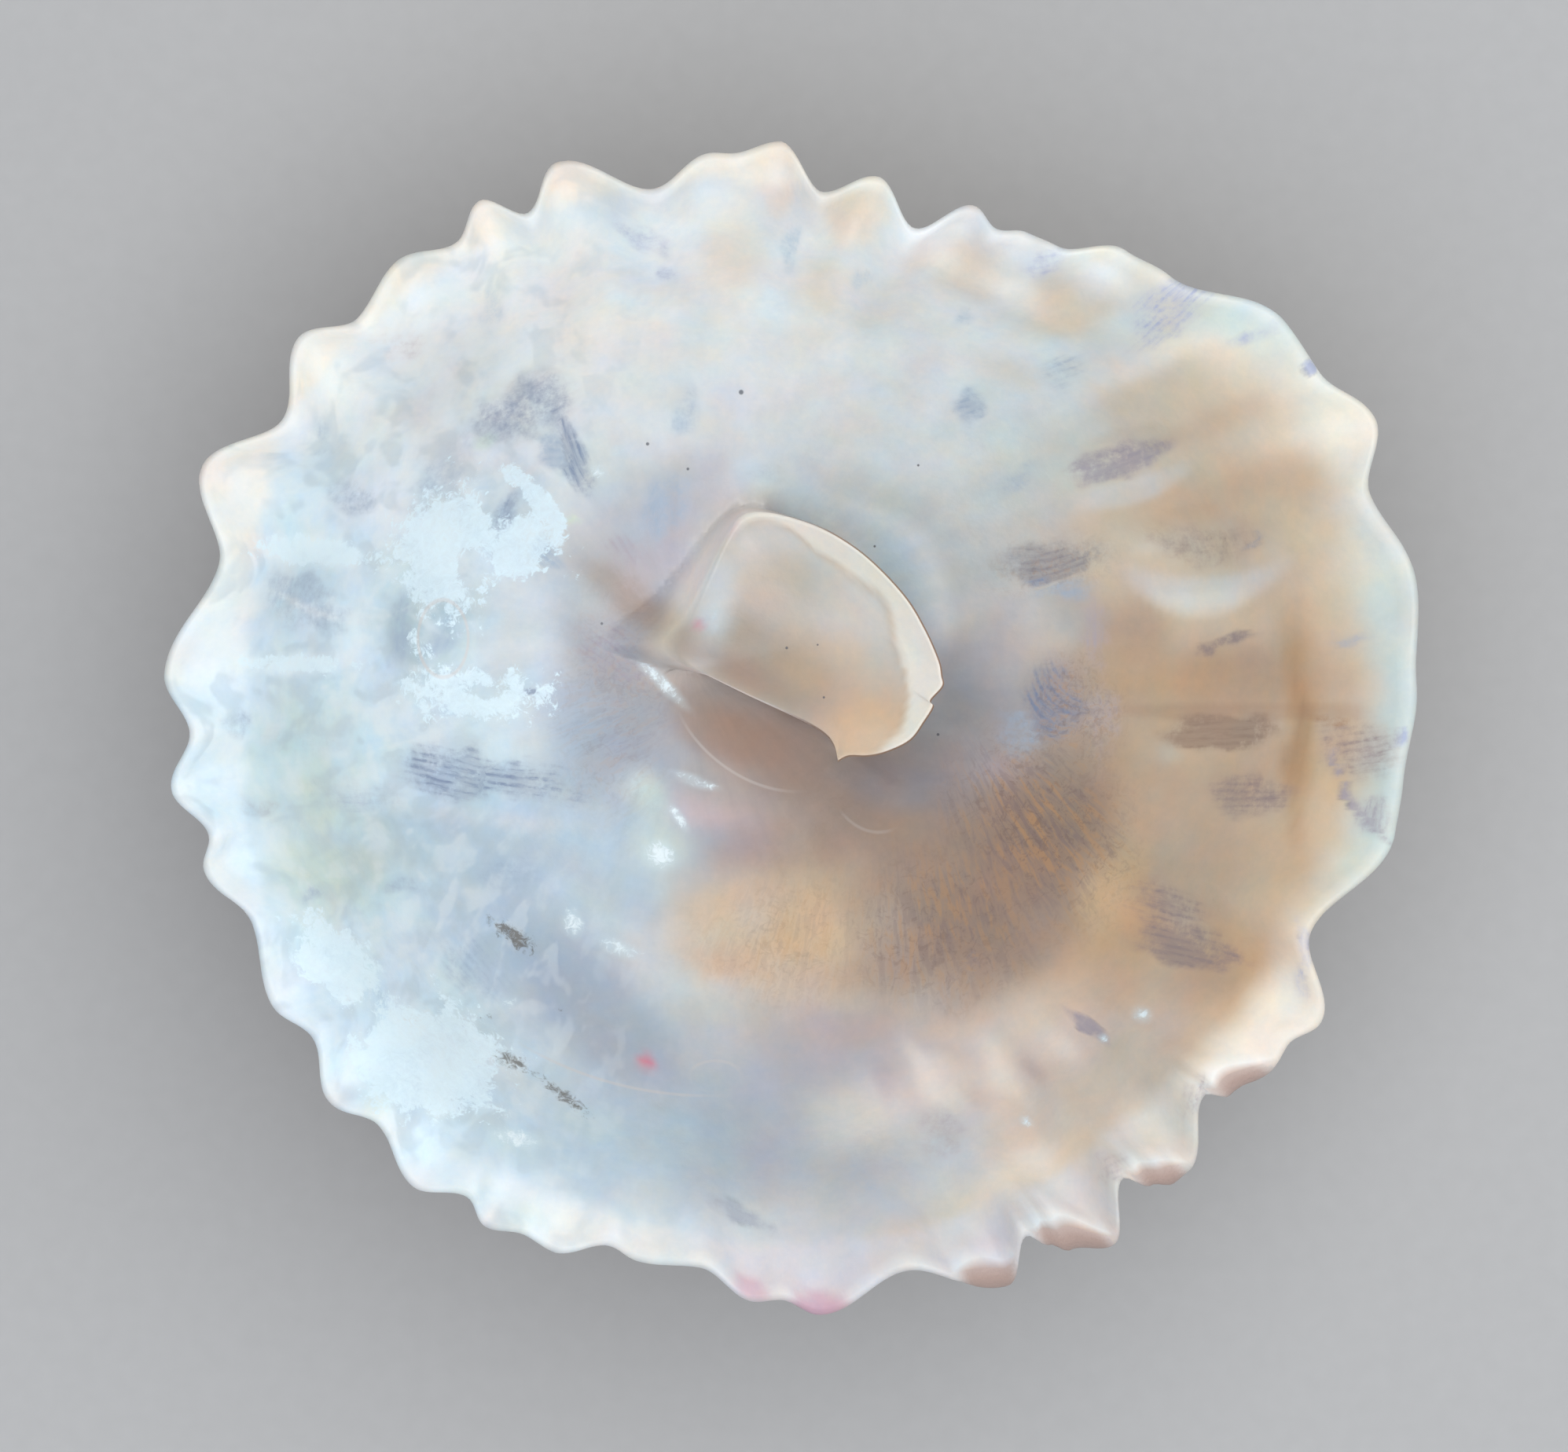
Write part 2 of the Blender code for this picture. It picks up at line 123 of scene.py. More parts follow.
# The mesh: spokes round the margin, the shares below which each second one is left out, and its rings
SPOKES = 896
THINNED_BELOW = (0.5, 0.25, 0.1)
INNER_RING_GAP = 0.0125
FIRST_RING = 0.02
LIP_STEPS = (0.22, 0.45, 0.66, 0.85)
OUTER_RINGS = (
    1.0, 0.993, 0.975, 0.955, 0.932, 0.91, 0.893, 0.882, 0.875, 0.869, 0.86, 0.84, 0.815, 0.79, 0.768,
    0.753, 0.745, 0.739, 0.73, 0.71, 0.685, 0.66, 0.635, 0.612, 0.602, 0.595, 0.589, 0.58, 0.555, 0.53,
    0.505, 0.48, 0.46, 0.452, 0.445, 0.439, 0.43, 0.41, 0.385, 0.36, 0.335, 0.31, 0.285, 0.26, 0.15,
)

# Rim of the half-cup from its lower tip round by the right: place from above, height,
# how far its foot flares out over the floor, and how far it is joined to the floor
CUP_RIM = np.array((
    (4.05, -2.72, 4.85, 0, 0), (4.4, -2.55, 4.92, 0, 0), (5, -2.55, 5.05, 0, 0), (5.6, -2.42, 5.18, 0, 0),
    (6.35, -2.05, 5.38, 0, 0), (6.8, -1.45, 5.58, 0, 0), (7.08, -0.98, 5.72, 0, 0),
    (7, -0.78, 5.76, 0, 0), (7.38, -0.33, 5.92, 0, 0), (7.35, 0, 5.97, 0, 0), (7.25, 0.5, 6.03, 0, 0),
    (6.8, 1.5, 6.13, 0, 0), (6.15, 2.55, 6.14, 0, 0), (5, 3.75, 6, 0, 0), (3.85, 4.55, 5.75, 0, 0),
    (2.8, 5, 5.4, 0, 0.3), (1.7, 5.25, 5, 0.2, 0.8), (0.95, 5.1, 4.65, 0.45, 1), (0.4, 4.3, 4.3, 0.8, 1),
    (-0.1, 3.2, 3.8, 1.2, 1), (-0.5, 2.3, 3.3, 1.7, 1), (-0.75, 1.75, 2.9, 2.4, 1),
    (-1.2, 1, 2.3, 3.2, 1), (-0.9, 0.4, 2.05, 0.9, 0.6), (-0.1, 0.02, 2.3, 0, 0), (1.2, -0.6, 2.85, 0, 0),
    (2.8, -1.33, 3.6, 0, 0), (3.6, -1.8, 4.15, 0, 0), (3.92, -2.2, 4.5, 0, 0), (4.05, -2.72, 4.85, 0, 0),
))
CUP_MIDDLE = np.array((4.1, 1.0))
CUP_STEPS_PER_SPAN = 7
CUP_RINGS = (0.06, 0.14, 0.22, 0.3, 0.38, 0.46, 0.53, 0.6, 0.66, 0.72, 0.77, 0.82, 0.86, 0.9, 0.94,
             0.97, 1.0)
CUP_WALL = 0.5
CUP_EDGE_ROUND = 0.07
CUP_DISH_POWER = 2.2
CUP_JOINED_FROM = 0.35

# The corners of the half-cup's rim fade out inwards, to an average over this many rim points
CORNERS_FROM = 0.6
CORNERS_SPREAD = 13

# The trough of the half-cup climbs from this point at its root towards the far rim
TROUGH_ROOT = np.array((-0.4, 1.3))
TROUGH_DIRECTION = np.array((0.94, 0.34))
TROUGH_HEIGHT = 2.1
TROUGH_RISE = 0.33
TROUGH_CURVE = 0.025
FOOT_DEPTH = 0.4
FOOT_STEPS = (0.12, 0.25, 0.38, 0.5, 0.62, 0.74, 0.86)

# A point of the joined skin this far from all old points is new, so it lies on the seam
NEW_POINT = 0.001
SEAM_ROUNDS = 14

# What the relief reads at each point of the saucer, and which of its sizes are plain numbers
SAUCER_MARKS = ("share", "crest", "layer", "bearing", "outer")
COUNTS = ("riblets", "lines_in_a_layer", "seed")

# Kinds of node that are used often, each with its settings
SHORT_KINDS = {
    "rise": ("MapRange", {"interpolation_type": "SMOOTHSTEP"}),
    "cover": ("Mix", {"data_type": "RGBA"}),
    "scale": ("VectorMath", {"operation": "SCALE"}),
    "stretch": ("VectorMath", {"operation": "MULTIPLY"}),
    "distance": ("VectorMath", {"operation": "DISTANCE"}),
}

# Paints of the inner face, named as a shell painter would, in sRGB
PAINTS = {
    "glare": "#EFF7FD", "frost_and_glare": "#E0F0FB", "ice": "#D0E4F2", "sky": "#BACFDF", "steel": "#A0B4CA",
    "ink": "#7889A8", "periwinkle": "#A3AED0", "snow": "#EEF0F0", "mist": "#D1D6DC", "aqua": "#CBE0E3",
    "celadon": "#CDDCD4", "sea": "#C2D2D4", "milk": "#EEE8DF", "cream": "#E3D8C8", "sand": "#D0C1AD",
    "tan": "#C4AA90", "toffee": "#C19B75", "amber": "#D3B592", "putty": "#C3B8AE", "umber": "#A0887A",
    "cocoa": "#8F7666", "bister": "#B9A097", "rust": "#946F57", "rosewood": "#B7A09C",
    "copper": "#8F6242", "beige": "#AA998B", "apricot": "#D6B598", "pearl": "#D6D2CE",
    "blossom": "#F0E5DC", "lavender": "#CFCED6", "orchid": "#C79FB0", "pink": "#D77F92",
    "teal": "#A3BAC0", "sienna": "#98775C", "rose": "#DACAC3", "lilac": "#B1A9B3", "violet": "#9891A0",
    "plum": "#86777B", "pewter": "#8C8A92", "slate": "#A3AAB8", "fog": "#BEC1C8", "peach": "#E6CDB9",
    "blush": "#DBBABB",
}


def linear(hex_colour):
    """Turn an sRGB hex colour to linear red, green and blue."""
    parts = [int(hex_colour[place:place + 2], 16) / 255.0 for place in (1, 3, 5)]
    return tuple(part / 12.92 if part <= 0.04045 else ((part + 0.055) / 1.055) ** 2.4 for part in parts)


def opaque(hex_colour):
    """Turn an sRGB hex colour to linear red, green, blue and alpha."""
    return linear(hex_colour) + (1.0,)


# Stains of the inner face: middle, half-length, half-width, turn, paint and strength
STAINS = (
    # White band above the half-cup, and the blue-green floor beside it
    (1, 10.2, 14, 4.4, 0, "snow", 0.75), (2, 7.6, 8, 2.2, 0, "mist", 0.5),
    (9.3, 6.3, 5, 2.6, 25, "sea", 0.7), (11, 9.4, 2.2, 1.6, 20, "ice", 0.8),
    (8.6, 2.6, 2.6, 2.6, 0, "fog", 0.8), (7.9, 2.6, 1.1, 1.9, 0, "mist", 0.8),
    (9.1, 11, 1.7, 1, 0, "glare", 0.6), (2.6, 12.6, 1.3, 1.1, 0, "glare", 0.85),
    (11.1, 9.5, 1.5, 1, 20, "glare", 0.45), (7, 7.4, 2.4, 1.6, 0, "glare", 0.4),
    # Painted light by the half-cup's rim, lifting the shade that the half-cup casts on the floor
    (2.6, 5.7, 2.6, 0.9, -25, "frost_and_glare", 0.65), (4.7, 4.3, 1.8, 0.9, -50, "glare", 0.7),
    # Cream and tan hollows of the ribs along the top
    (0.6, 13.3, 1.2, 1.2, 0, "milk", 0.9), (3.4, 12.4, 0.9, 1.1, 0, "milk", 0.7),
    (4.6, 14.6, 1.1, 0.8, 0, "cream", 0.9), (8, 13.1, 2, 0.7, -22, "sand", 0.7),
    (11.5, 11.8, 1.7, 0.9, -8, "sand", 0.8), (-3.2, 12, 1.6, 1.6, 0, "milk", 0.6),
    (-2, 13.1, 1.5, 1.3, 0, "glare", 0.9), (6.4, 14.1, 1.3, 0.9, -20, "glare", 0.8),
    (9.4, 9.6, 1.2, 0.5, -30, "cream", 0.4), (9.8, 12.3, 0.9, 0.5, -25, "glare", 0.6),
    (12.1, 13.1, 1.3, 0.7, -25, "glare", 0.85), (13.7, 10.6, 1, 1.2, 30, "ice", 0.75),
    # Tan right wall with its paler rim
    (17, 3, 6, 8, 0, "sand", 0.85), (18, 9.6, 3, 1.4, -30, "cream", 0.8),
    (14.4, 8.9, 2.6, 0.8, 10, "sand", 0.7), (16, 8.1, 1.8, 0.5, 25, "tan", 0.5),
    (16.2, 5.9, 3.6, 0.9, 12, "tan", 0.8), (14.2, 10.2, 2.2, 0.6, 20, "milk", 0.6),
    (16.3, 11.4, 1.6, 0.7, -30, "aqua", 0.6), (13.5, 1.6, 1.3, 1.6, 0, "tan", 0.9),
    (13.6, 1.4, 1, 1, 0, "umber", 0.4), (18.4, 2, 2, 1.6, 0, "tan", 0.5),
    (12.4, 3.4, 1, 1.6, 0, "sand", 0.4), (11.7, 2, 0.8, 1, 0, "slate", 0.5),
    (17.8, 5.2, 1.2, 0.8, 0, "tan", 0.5), (17.2, -0.1, 4.4, 1.1, 0, "tan", 0.85),
    (17, 0, 2.4, 0.9, 0, "umber", 0.55), (14.6, -0.3, 2.6, 1, 0, "toffee", 0.7),
    (16.2, -2.9, 3.6, 2, 0, "tan", 0.85), (20.4, -2.8, 1.4, 2, 0, "tan", 0.8),
    (17.4, -6, 2.6, 2, 0, "tan", 0.75), (18.75, -1.6, 0.5, 3.2, 0, "toffee", 0.9),
    (18.65, -1.8, 0.35, 2.8, 0, "sienna", 0.5), (14.4, -2.6, 0.8, 0.5, -20, "celadon", 0.5),
    # Brown floor at the lower right, with the toffee ring round it
    (9.2, -6, 5.6, 5, -25, "umber", 0.95), (4.6, -5.2, 5.4, 2.8, -5, "umber", 0.9),
    (13.4, -4.6, 1, 3.4, -6, "tan", 0.9), (13, -7.4, 1, 1.8, -20, "toffee", 0.8),
    (12.8, -9.7, 2.2, 1.3, 50, "toffee", 0.9), (16.4, -9.7, 1.5, 1.7, -35, "toffee", 0.95),
    (14.6, -11.2, 2, 1.2, 40, "tan", 0.8), (15.9, -9.8, 1.3, 0.8, 0, "umber", 0.4),
    (10, -10.4, 2.4, 0.9, 20, "tan", 0.6), (10.8, -5.2, 1.9, 2.6, -30, "cocoa", 0.75),
    (8.2, -8.6, 1.8, 1.6, 0, "cocoa", 0.6), (12.7, -7.2, 0.8, 1.8, -20, "amber", 0.55),
    (5.4, -9.6, 1.8, 1.2, 0, "umber", 0.6), (1.4, -8.2, 3.4, 2, -10, "amber", 0.65),
    (-0.2, -7.2, 1.5, 0.7, -20, "amber", 0.5), (3.1, -8.3, 1.2, 1.4, 0, "amber", 0.75),
    (0.9, -9.2, 1, 0.7, 0, "apricot", 0.6), (1.3, -7.4, 0.8, 0.6, 30, "putty", 0.45),
    (2.9, -10.3, 1.8, 0.7, 0, "apricot", 0.45), (3, -11, 3.2, 0.8, 0, "putty", 0.6),
    (4.7, -11.5, 2.4, 0.8, 8, "bister", 0.6), (10, -11.4, 2.4, 0.9, 32, "tan", 0.5),
    # Shade and warm glow under the free edge of the half-cup
    (1.8, -2.1, 3.6, 1.5, -26, "cocoa", 1), (1.3, -2, 2.6, 1.1, -26, "rust", 0.9),
    (0.3, -1.7, 1.3, 0.8, -10, "sienna", 1), (0.6, -5, 2, 1.2, 0, "umber", 0.7),
    (0.4, -5.2, 1.5, 1, 0, "rosewood", 0.6), (0.5, -5.4, 1.5, 0.9, 0, "plum", 0.4),
    (5.9, -3.5, 1.9, 0.8, -10, "pewter", 0.5), (9.2, -2.9, 1.2, 0.6, 0, "lilac", 0.5),
    (7.3, -3, 1.5, 1.2, 0, "pewter", 0.5), (8.4, -0.7, 1.7, 1.4, 0, "slate", 0.6),
    (8.2, -1, 1, 0.9, 0, "pewter", 0.4), (11, -1, 1.2, 1.3, 0, "violet", 0.35),
    # Mauve bottom and its grey-blue floor
    (8.6, -13, 5, 2, 22, "rose", 0.95), (13.2, -12.6, 2, 1.1, 40, "putty", 0.9),
    (7.2, -15.4, 1.6, 1.2, 10, "mist", 0.8), (4, -12.4, 3.2, 1.2, -5, "lilac", 0.7),
    (1.2, -14.6, 4.6, 2.2, -4, "slate", 0.8), (-2.6, -14.4, 2.8, 1.6, -20, "sky", 0.7),
    (5.4, -15.8, 1.2, 0.8, 0, "fog", 0.6), (4, -17.4, 3.2, 0.6, 10, "fog", 0.5),
    (4.9, -14.1, 1.6, 1, 10, "milk", 0.55), (9.9, -15.9, 1.6, 0.6, 30, "blossom", 0.6),
    (6.7, -12.9, 1.1, 0.38, -63, "blossom", 0.6), (9.2, -12.8, 1.1, 0.4, -56, "blossom", 0.6),
    (11.1, -12, 0.8, 0.35, -48, "blossom", 0.4), (8, -12.9, 0.9, 0.3, -60, "bister", 0.6),
    (5.5, -12.9, 0.9, 0.3, -68, "lilac", 0.5), (10.3, -12.6, 0.8, 0.28, -52, "bister", 0.5),
    # Left of the half-cup: grey-violet floor that clears to blue-white
    (-2.6, -1.6, 2.3, 3.8, 8, "slate", 0.95), (-3.4, -2.8, 1.6, 2.2, 0, "steel", 0.9),
    (-2.6, -2.3, 1.3, 1.9, 0, "pewter", 0.7), (-3.2, 0.8, 1.6, 1.2, -35, "pewter", 0.9),
    (-1.8, -4.6, 1.8, 1.8, 0, "steel", 0.6), (-2.2, -3.8, 0.9, 0.5, -30, "celadon", 0.8),
    (-1.9, -5.4, 0.8, 1, 0, "celadon", 0.75), (-0.3, -4.3, 1, 0.6, -20, "blush", 0.55),
    (0.2, -3.4, 1.3, 0.8, -25, "umber", 0.5), (-0.9, -0.3, 1.5, 0.8, -40, "umber", 0.7),
    (-3, 3.6, 2, 2.8, -20, "fog", 0.8), (-1.8, 3.7, 1, 1.6, -20, "lilac", 0.8),
    (-1.2, 5.8, 2.2, 1, 40, "fog", 0.8), (-0.6, 5.2, 1.7, 1.2, 40, "lilac", 0.5),
    (-2.3, 2.2, 2, 0.7, -42, "umber", 0.95), (-5.2, -5.8, 3, 2, -20, "sky", 0.8),
    (-8, -5, 3, 1.4, -5, "sky", 0.7), (-5, -5.4, 1.5, 1.1, 0, "steel", 0.35),
    (-8.8, 1, 1.5, 1.8, 0, "sky", 0.8), (-6.4, 1.2, 1.2, 1.4, 0, "mist", 0.6),
    (-4.6, -10, 3.4, 1.7, -40, "ink", 0.6), (-2.8, -11.8, 2.4, 1.2, -30, "slate", 0.6),
    (-8, -8.4, 1.6, 1.2, -20, "sky", 0.4), (-7, -7.8, 1.6, 1, -20, "steel", 0.35),
    (-3, -6.9, 1.2, 0.7, -20, "steel", 0.5), (-6.8, 5.8, 1.2, 0.9, 40, "sky", 0.6),
    (-6.2, -0.2, 0.9, 0.7, 0, "sky", 0.7), (-13.1, -3, 1.5, 2.4, 0, "aqua", 0.8),
    (-12.4, -6.3, 1.6, 1.4, 0, "celadon", 0.7), (-6, -14.4, 1.9, 1.1, -20, "sky", 0.5),
    (-8.6, 8.4, 2.2, 2.2, 40, "mist", 0.6), (-12.4, 9.8, 2.6, 2.6, 0, "snow", 0.6),
    (-6.4, 12.4, 2.4, 1.8, 0, "snow", 0.7), (-10.6, 6.6, 1, 1.3, 0, "glare", 0.45),
    (-2.1, -12.45, 0.2, 0.18, 0, "pink", 0.9),
)

# Patches with a fairly crisp edge, in the same columns, and how much each bends
PATCHES = (
    # The darker middle of the floor
    (-0.6, -0.8, 4.3, 4.6, 0, "slate", 0.22, 0),
    # Pale rings between the thin places on the left, partly painted reflections on the glaze
    (-12.7, 4, 2.1, 0.48, -5, "frost_and_glare", 0.9, -0.03), (-13.2, 0.35, 1.7, 0.42, 0, "frost_and_glare", 0.8, 0.08),
    (-11.2, 2.1, 0.42, 1.9, 0, "ice", 0.8, 0), (-11.5, 1, 0.3, 1, 0, "frost_and_glare", 0.6, 0),
    (-7.2, -4.6, 2.6, 0.3, -6, "mist", 0.5, 0), (-11, -5.2, 2, 0.4, -4, "ice", 0.5, 0),
    (-5.6, 6.9, 1.6, 0.09, 41, "mist", 0.8, 0), (-12.95, 2.15, 1.1, 0.13, -22, "glare", 0.9, 0.05),
    (-9.3, 1.35, 1.35, 1.2, 0, "teal", 0.5, 0), (-12.6, -4.2, 0.5, 1.6, 0, "celadon", 0.5, 0),
    (-7.3, 7.5, 0.4, 0.2, 30, "celadon", 0.9, 0), (-4.5, 5.05, 0.25, 0.12, 0, "celadon", 0.9, 0),
    (-8.3, -5.6, 3, 0.9, -12, "steel", 0.3, 0), (-10.6, -5.6, 1.6, 1.3, 0, "teal", 0.3, 0),
    # Warm hollows of the ribs along the top
    (2.1, 15.7, 0.5, 1, 5, "peach", 0.5, 0), (0.7, 13.4, 0.9, 0.9, 0, "milk", 0.6, 0),
    (4.4, 14.6, 0.75, 0.85, 0, "peach", 0.35, 0), (3.6, 12.4, 0.5, 0.75, 0, "cream", 0.4, 0),
    (7.6, 13.15, 1.6, 0.6, -22, "peach", 0.2, -0.12), (11.3, 11.75, 1.1, 0.75, -8, "peach", 0.25, 0),
    # Pale lump on the lower wall
    (7.5, -13, 0.95, 0.8, -25, "milk", 0.45, 0),
    # Painted light on the floor beside the rim of the half-cup, lifting the shade that the half-cup casts
    # there
    (6.2, 3.9, 2.8, 0.9, -50, "glare", 0.7, -0.1), (5.9, 3.9, 2.2, 0.6, -50, "ice", 0.8, -0.1),
    # Shade below the free edge of the half-cup
    (1.6, -1.1, 3.3, 2.2, -37, "cocoa", 0.45, 0), (0.5, -1.9, 1.9, 0.85, -22, "copper", 0.42, 0),
    # Painted highlights on the pale lips under the dimples on the right
    (15.7, 2.6, 2.2, 0.55, 0, "mist", 0.6, 0.13), (15.7, 2.2, 1.6, 0.4, 0, "milk", 0.35, 0.13),
    (13.4, 5.85, 1.8, 0.4, 15, "mist", 0.5, 0.08),
    # Crisp upper edge of the shade across the right wall
    (17.2, -1.15, 4.2, 0.3, 0, "rust", 0.3, 0),
)

# Rosy tips of a few ribs, in the columns of the stains
TIP_STAINS = (
    (3.4, -20.1, 0.9, 0.4, 0, "orchid", 0.9), (1.25, -19.5, 0.6, 0.3, -30, "orchid", 0.6),
    (15.8, -15.2, 0.5, 0.3, 60, "lavender", 0.6),
)

# Thin places of the wall, where the striped layer below shows: middle, half-length, half-width,
# turn, paint, strength, how strongly striped it is along its length, and how much the stripes bend
WINDOWS = (
    (8.35, 8.65, 0.6, 0.5, 10, "steel", 0.6, 0.5, 0), (13.1, 6.9, 1.7, 0.5, 17, "violet", 0.7, 0.3, 0.04),
    (15.6, 4.1, 2, 0.75, -3, "plum", 0.4, 0.4, 0.1), (17.3, 4.4, 0.4, 0.15, 60, "ink", 0.6, 0, 0),
    (16.6, 1, 1.1, 0.2, 18, "plum", 0.65, 0, 0), (20.4, 1.1, 0.7, 0.22, 0, "slate", 0.5, 0, 0),
    (16.3, -1.8, 1.5, 0.5, 2, "cocoa", 0.95, 0.4, 0), (17.2, -3.8, 1.2, 0.65, 0, "plum", 0.6, 0.6, 0),
    (14.7, -7.4, 1.4, 0.9, -15, "plum", 0.6, 1, 0), (15.3, -8.6, 1.7, 0.6, -14, "plum", 0.7, 0.5, 0),
    (20.5, -2.2, 1.2, 1.2, 10, "plum", 0.5, 0.8, 0), (20, -1.5, 1, 0.3, 0, "rust", 0.5, 0.3, 0),
    (20.2, -3.7, 2.1, 0.16, -65, "violet", 0.7, 0, 0.1),
    (21.1, -4.5, 0.6, 0.6, 80, "violet", 0.6, 0.9, 0),
    (21.9, -1.9, 0.3, 0.35, 0, "periwinkle", 0.6, 0, 0),
    (14.5, 11.7, 1.5, 0.8, 42, "periwinkle", 0.65, 1, 0),
    (17.3, 10.8, 0.9, 0.25, 20, "periwinkle", 0.4, 0.3, 0),
    (18.95, 9.7, 0.25, 0.22, 0, "periwinkle", 0.8, 0, 0),
    (10.6, 13.2, 0.8, 0.5, 10, "periwinkle", 0.4, 0.6, 0),
    (11.1, 9.65, 0.9, 0.6, 20, "steel", 0.4, 0.9, 0), (9.9, 6.35, 0.8, 0.3, 30, "steel", 0.45, 0.2, 0),
    (10.9, 3.7, 1.5, 0.7, 12, "pewter", 0.7, 0.5, 0.1), (10.6, 3.3, 0.7, 0.3, 12, "ink", 0.72, 0.5, 0),
    (11.2, 2.6, 1.2, 0.4, 10, "steel", 0.5, 0.4, 0), (12.4, 1.2, 1.5, 0.5, 90, "lilac", 0.5, 0.7, 0),
    (12.6, -1.3, 1.5, 0.5, 95, "lilac", 0.4, 0.7, 0.1), (11, -1, 1.1, 1, -38, "ink", 0.7, 1, 0.35),
    (10.05, -1.7, 0.8, 0.8, 0, "steel", 0.4, 0.2, 0), (-4.5, 7, 1.5, 0.38, -68, "ink", 0.7, 0.8, 0.06),
    (-6.1, 8.5, 1.7, 0.85, 27, "ink", 0.5, 0.3, 0), (-8.6, 6.5, 1.4, 0.6, 55, "steel", 0.4, 0.3, 0),
    (-5.2, 7.2, 0.65, 0.6, 0, "steel", 0.6, 0.4, 0), (-6.7, 5.35, 0.75, 0.3, 60, "ink", 0.55, 0.6, 0),
    (-5.3, 4, 0.65, 0.45, -45, "steel", 0.65, 0.7, 0), (-2.7, 3.8, 1, 0.7, -55, "lilac", 0.55, 0.7, 0),
    (-3.1, 0.7, 1.5, 0.85, -38, "violet", 0.55, 0.9, 0), (-0.9, 8.5, 0.9, 0.5, 75, "steel", 0.4, 0.3, 0),
    (-10.1, 1.4, 1.1, 0.45, 85, "steel", 0.6, 0.4, 0), (-8.8, 1.1, 1, 0.5, 70, "steel", 0.55, 0.5, 0),
    (-13.3, 2.5, 1.15, 1, 0, "steel", 0.5, 0.3, 0), (-12.2, 1.9, 0.7, 0.5, -30, "steel", 0.5, 0.3, 0),
    (-12.5, 7.35, 0.9, 0.33, 82, "steel", 0.5, 0.3, 0), (-11.4, 5.8, 0.65, 0.45, 0, "steel", 0.5, 0.3, 0),
    (-15.1, -1.5, 0.65, 0.32, 88, "steel", 0.5, 0.3, 0),
    (-12.9, -2.2, 1.6, 0.8, 0, "steel", 0.25, 0.5, 0), (-8.4, -3, 1.6, 0.85, -12, "ink", 0.75, 0.9, 0),
    (-6.4, -3.35, 2.3, 0.6, -7, "ink", 0.7, 1, 0), (-7.6, -9.4, 1.3, 0.9, -50, "steel", 0.6, 0.8, 0),
    (-12.8, -7.2, 0.5, 0.35, 0, "steel", 0.5, 0.4, 0), (-9.8, -6.9, 0.9, 0.4, -10, "steel", 0.55, 0.5, 0),
    (-6.7, -6.4, 1.1, 0.6, 0, "steel", 0.55, 0.5, 0), (-14.4, -4.1, 0.8, 0.4, 0, "slate", 0.4, 0.3, 0),
    (-11.2, -3.9, 1.4, 0.6, 0, "steel", 0.4, 0.7, 0), (-5.8, -0.6, 0.7, 0.2, -8, "ink", 0.6, 0.2, 0),
    (-2.3, 14, 1.1, 0.35, -30, "periwinkle", 0.4, 0.4, 0),
    (-1.4, 12.7, 0.45, 0.3, 0, "periwinkle", 0.4, 0, 0), (-10, 10.5, 0.9, 0.6, 0, "lilac", 0.35, 0.6, 0),
    (-6.9, 11.7, 0.9, 0.4, 80, "sky", 0.45, 0.2, 0), (2.55, 13.6, 0.65, 0.3, 75, "sky", 0.45, 0.2, 0),
    (4.9, 12.7, 0.4, 0.3, 0, "sky", 0.45, 0.2, 0), (8.15, 11.5, 0.4, 0.35, 0, "sky", 0.45, 0.2, 0),
    (1.75, 6.5, 0.8, 0.45, 0, "steel", 0.3, 0.3, 0), (-1.5, 5.5, 1.3, 0.75, 60, "steel", 0.5, 0.2, 0),
    (7.75, 3, 0.6, 1, 0, "steel", 0.2, 0.2, 0), (0.9, -17.15, 1.3, 0.3, -28, "slate", 0.6, 0.3, 0),
    (18.8, -9, 1.3, 0.3, 95, "periwinkle", 0.5, 0.8, 0),
    (15.3, -13.4, 0.7, 0.35, 75, "violet", 0.45, 0.9, 0),
    (12.7, -15.6, 0.7, 0.4, 25, "violet", 0.35, 0.5, 0),
    (12.1, -11.3, 0.85, 0.2, -42, "violet", 0.6, 0.2, 0),
    (7.25, -14.65, 0.6, 0.9, 0, "lilac", 0.5, 0.3, 0), (4.9, -16.2, 1.6, 0.5, -30, "steel", 0.4, 0.4, 0),
    (6.65, -3.4, 0.7, 0.45, 0, "pewter", 0.4, 0.2, 0), (8.45, -9.1, 0.3, 0.3, 0, "plum", 0.5, 0, 0),
)

# Painted reflections on the glaze, drawn as frosted flakes: middle, half-length, half-width, turn
# and strength, where a strength below zero opens a hole
PAINTED_GLARE = (
    (-8.45, 4, 1.5, 1.9, 0, 0.95), (-6.2, 4.2, 1.6, 0.9, 0, 1), (-5.7, 5.75, 1.4, 0.32, -44, 1),
    (-7.8, 3.6, 0.45, 0.6, 0, -0.9), (-5.3, 4, 0.5, 0.35, -45, -0.6), (-6.7, 5.35, 0.6, 0.3, 60, -0.6),
    (-7.5, -0.65, 2.4, 0.8, -4, 0.8), (-7.6, -0.5, 0.6, 0.25, -4, -0.7), (-9.1, -12.3, 2.2, 1.6, -12, 1),
    (-12, -9.1, 1.5, 0.9, -42, 0.9), (-9.4, 0.8, 0.8, 0.5, 0, 0.5), (-12.7, 4, 1.8, 0.45, -5, 0.9),
    (-13.2, 0.35, 1.6, 0.3, 0, 0.7),
)

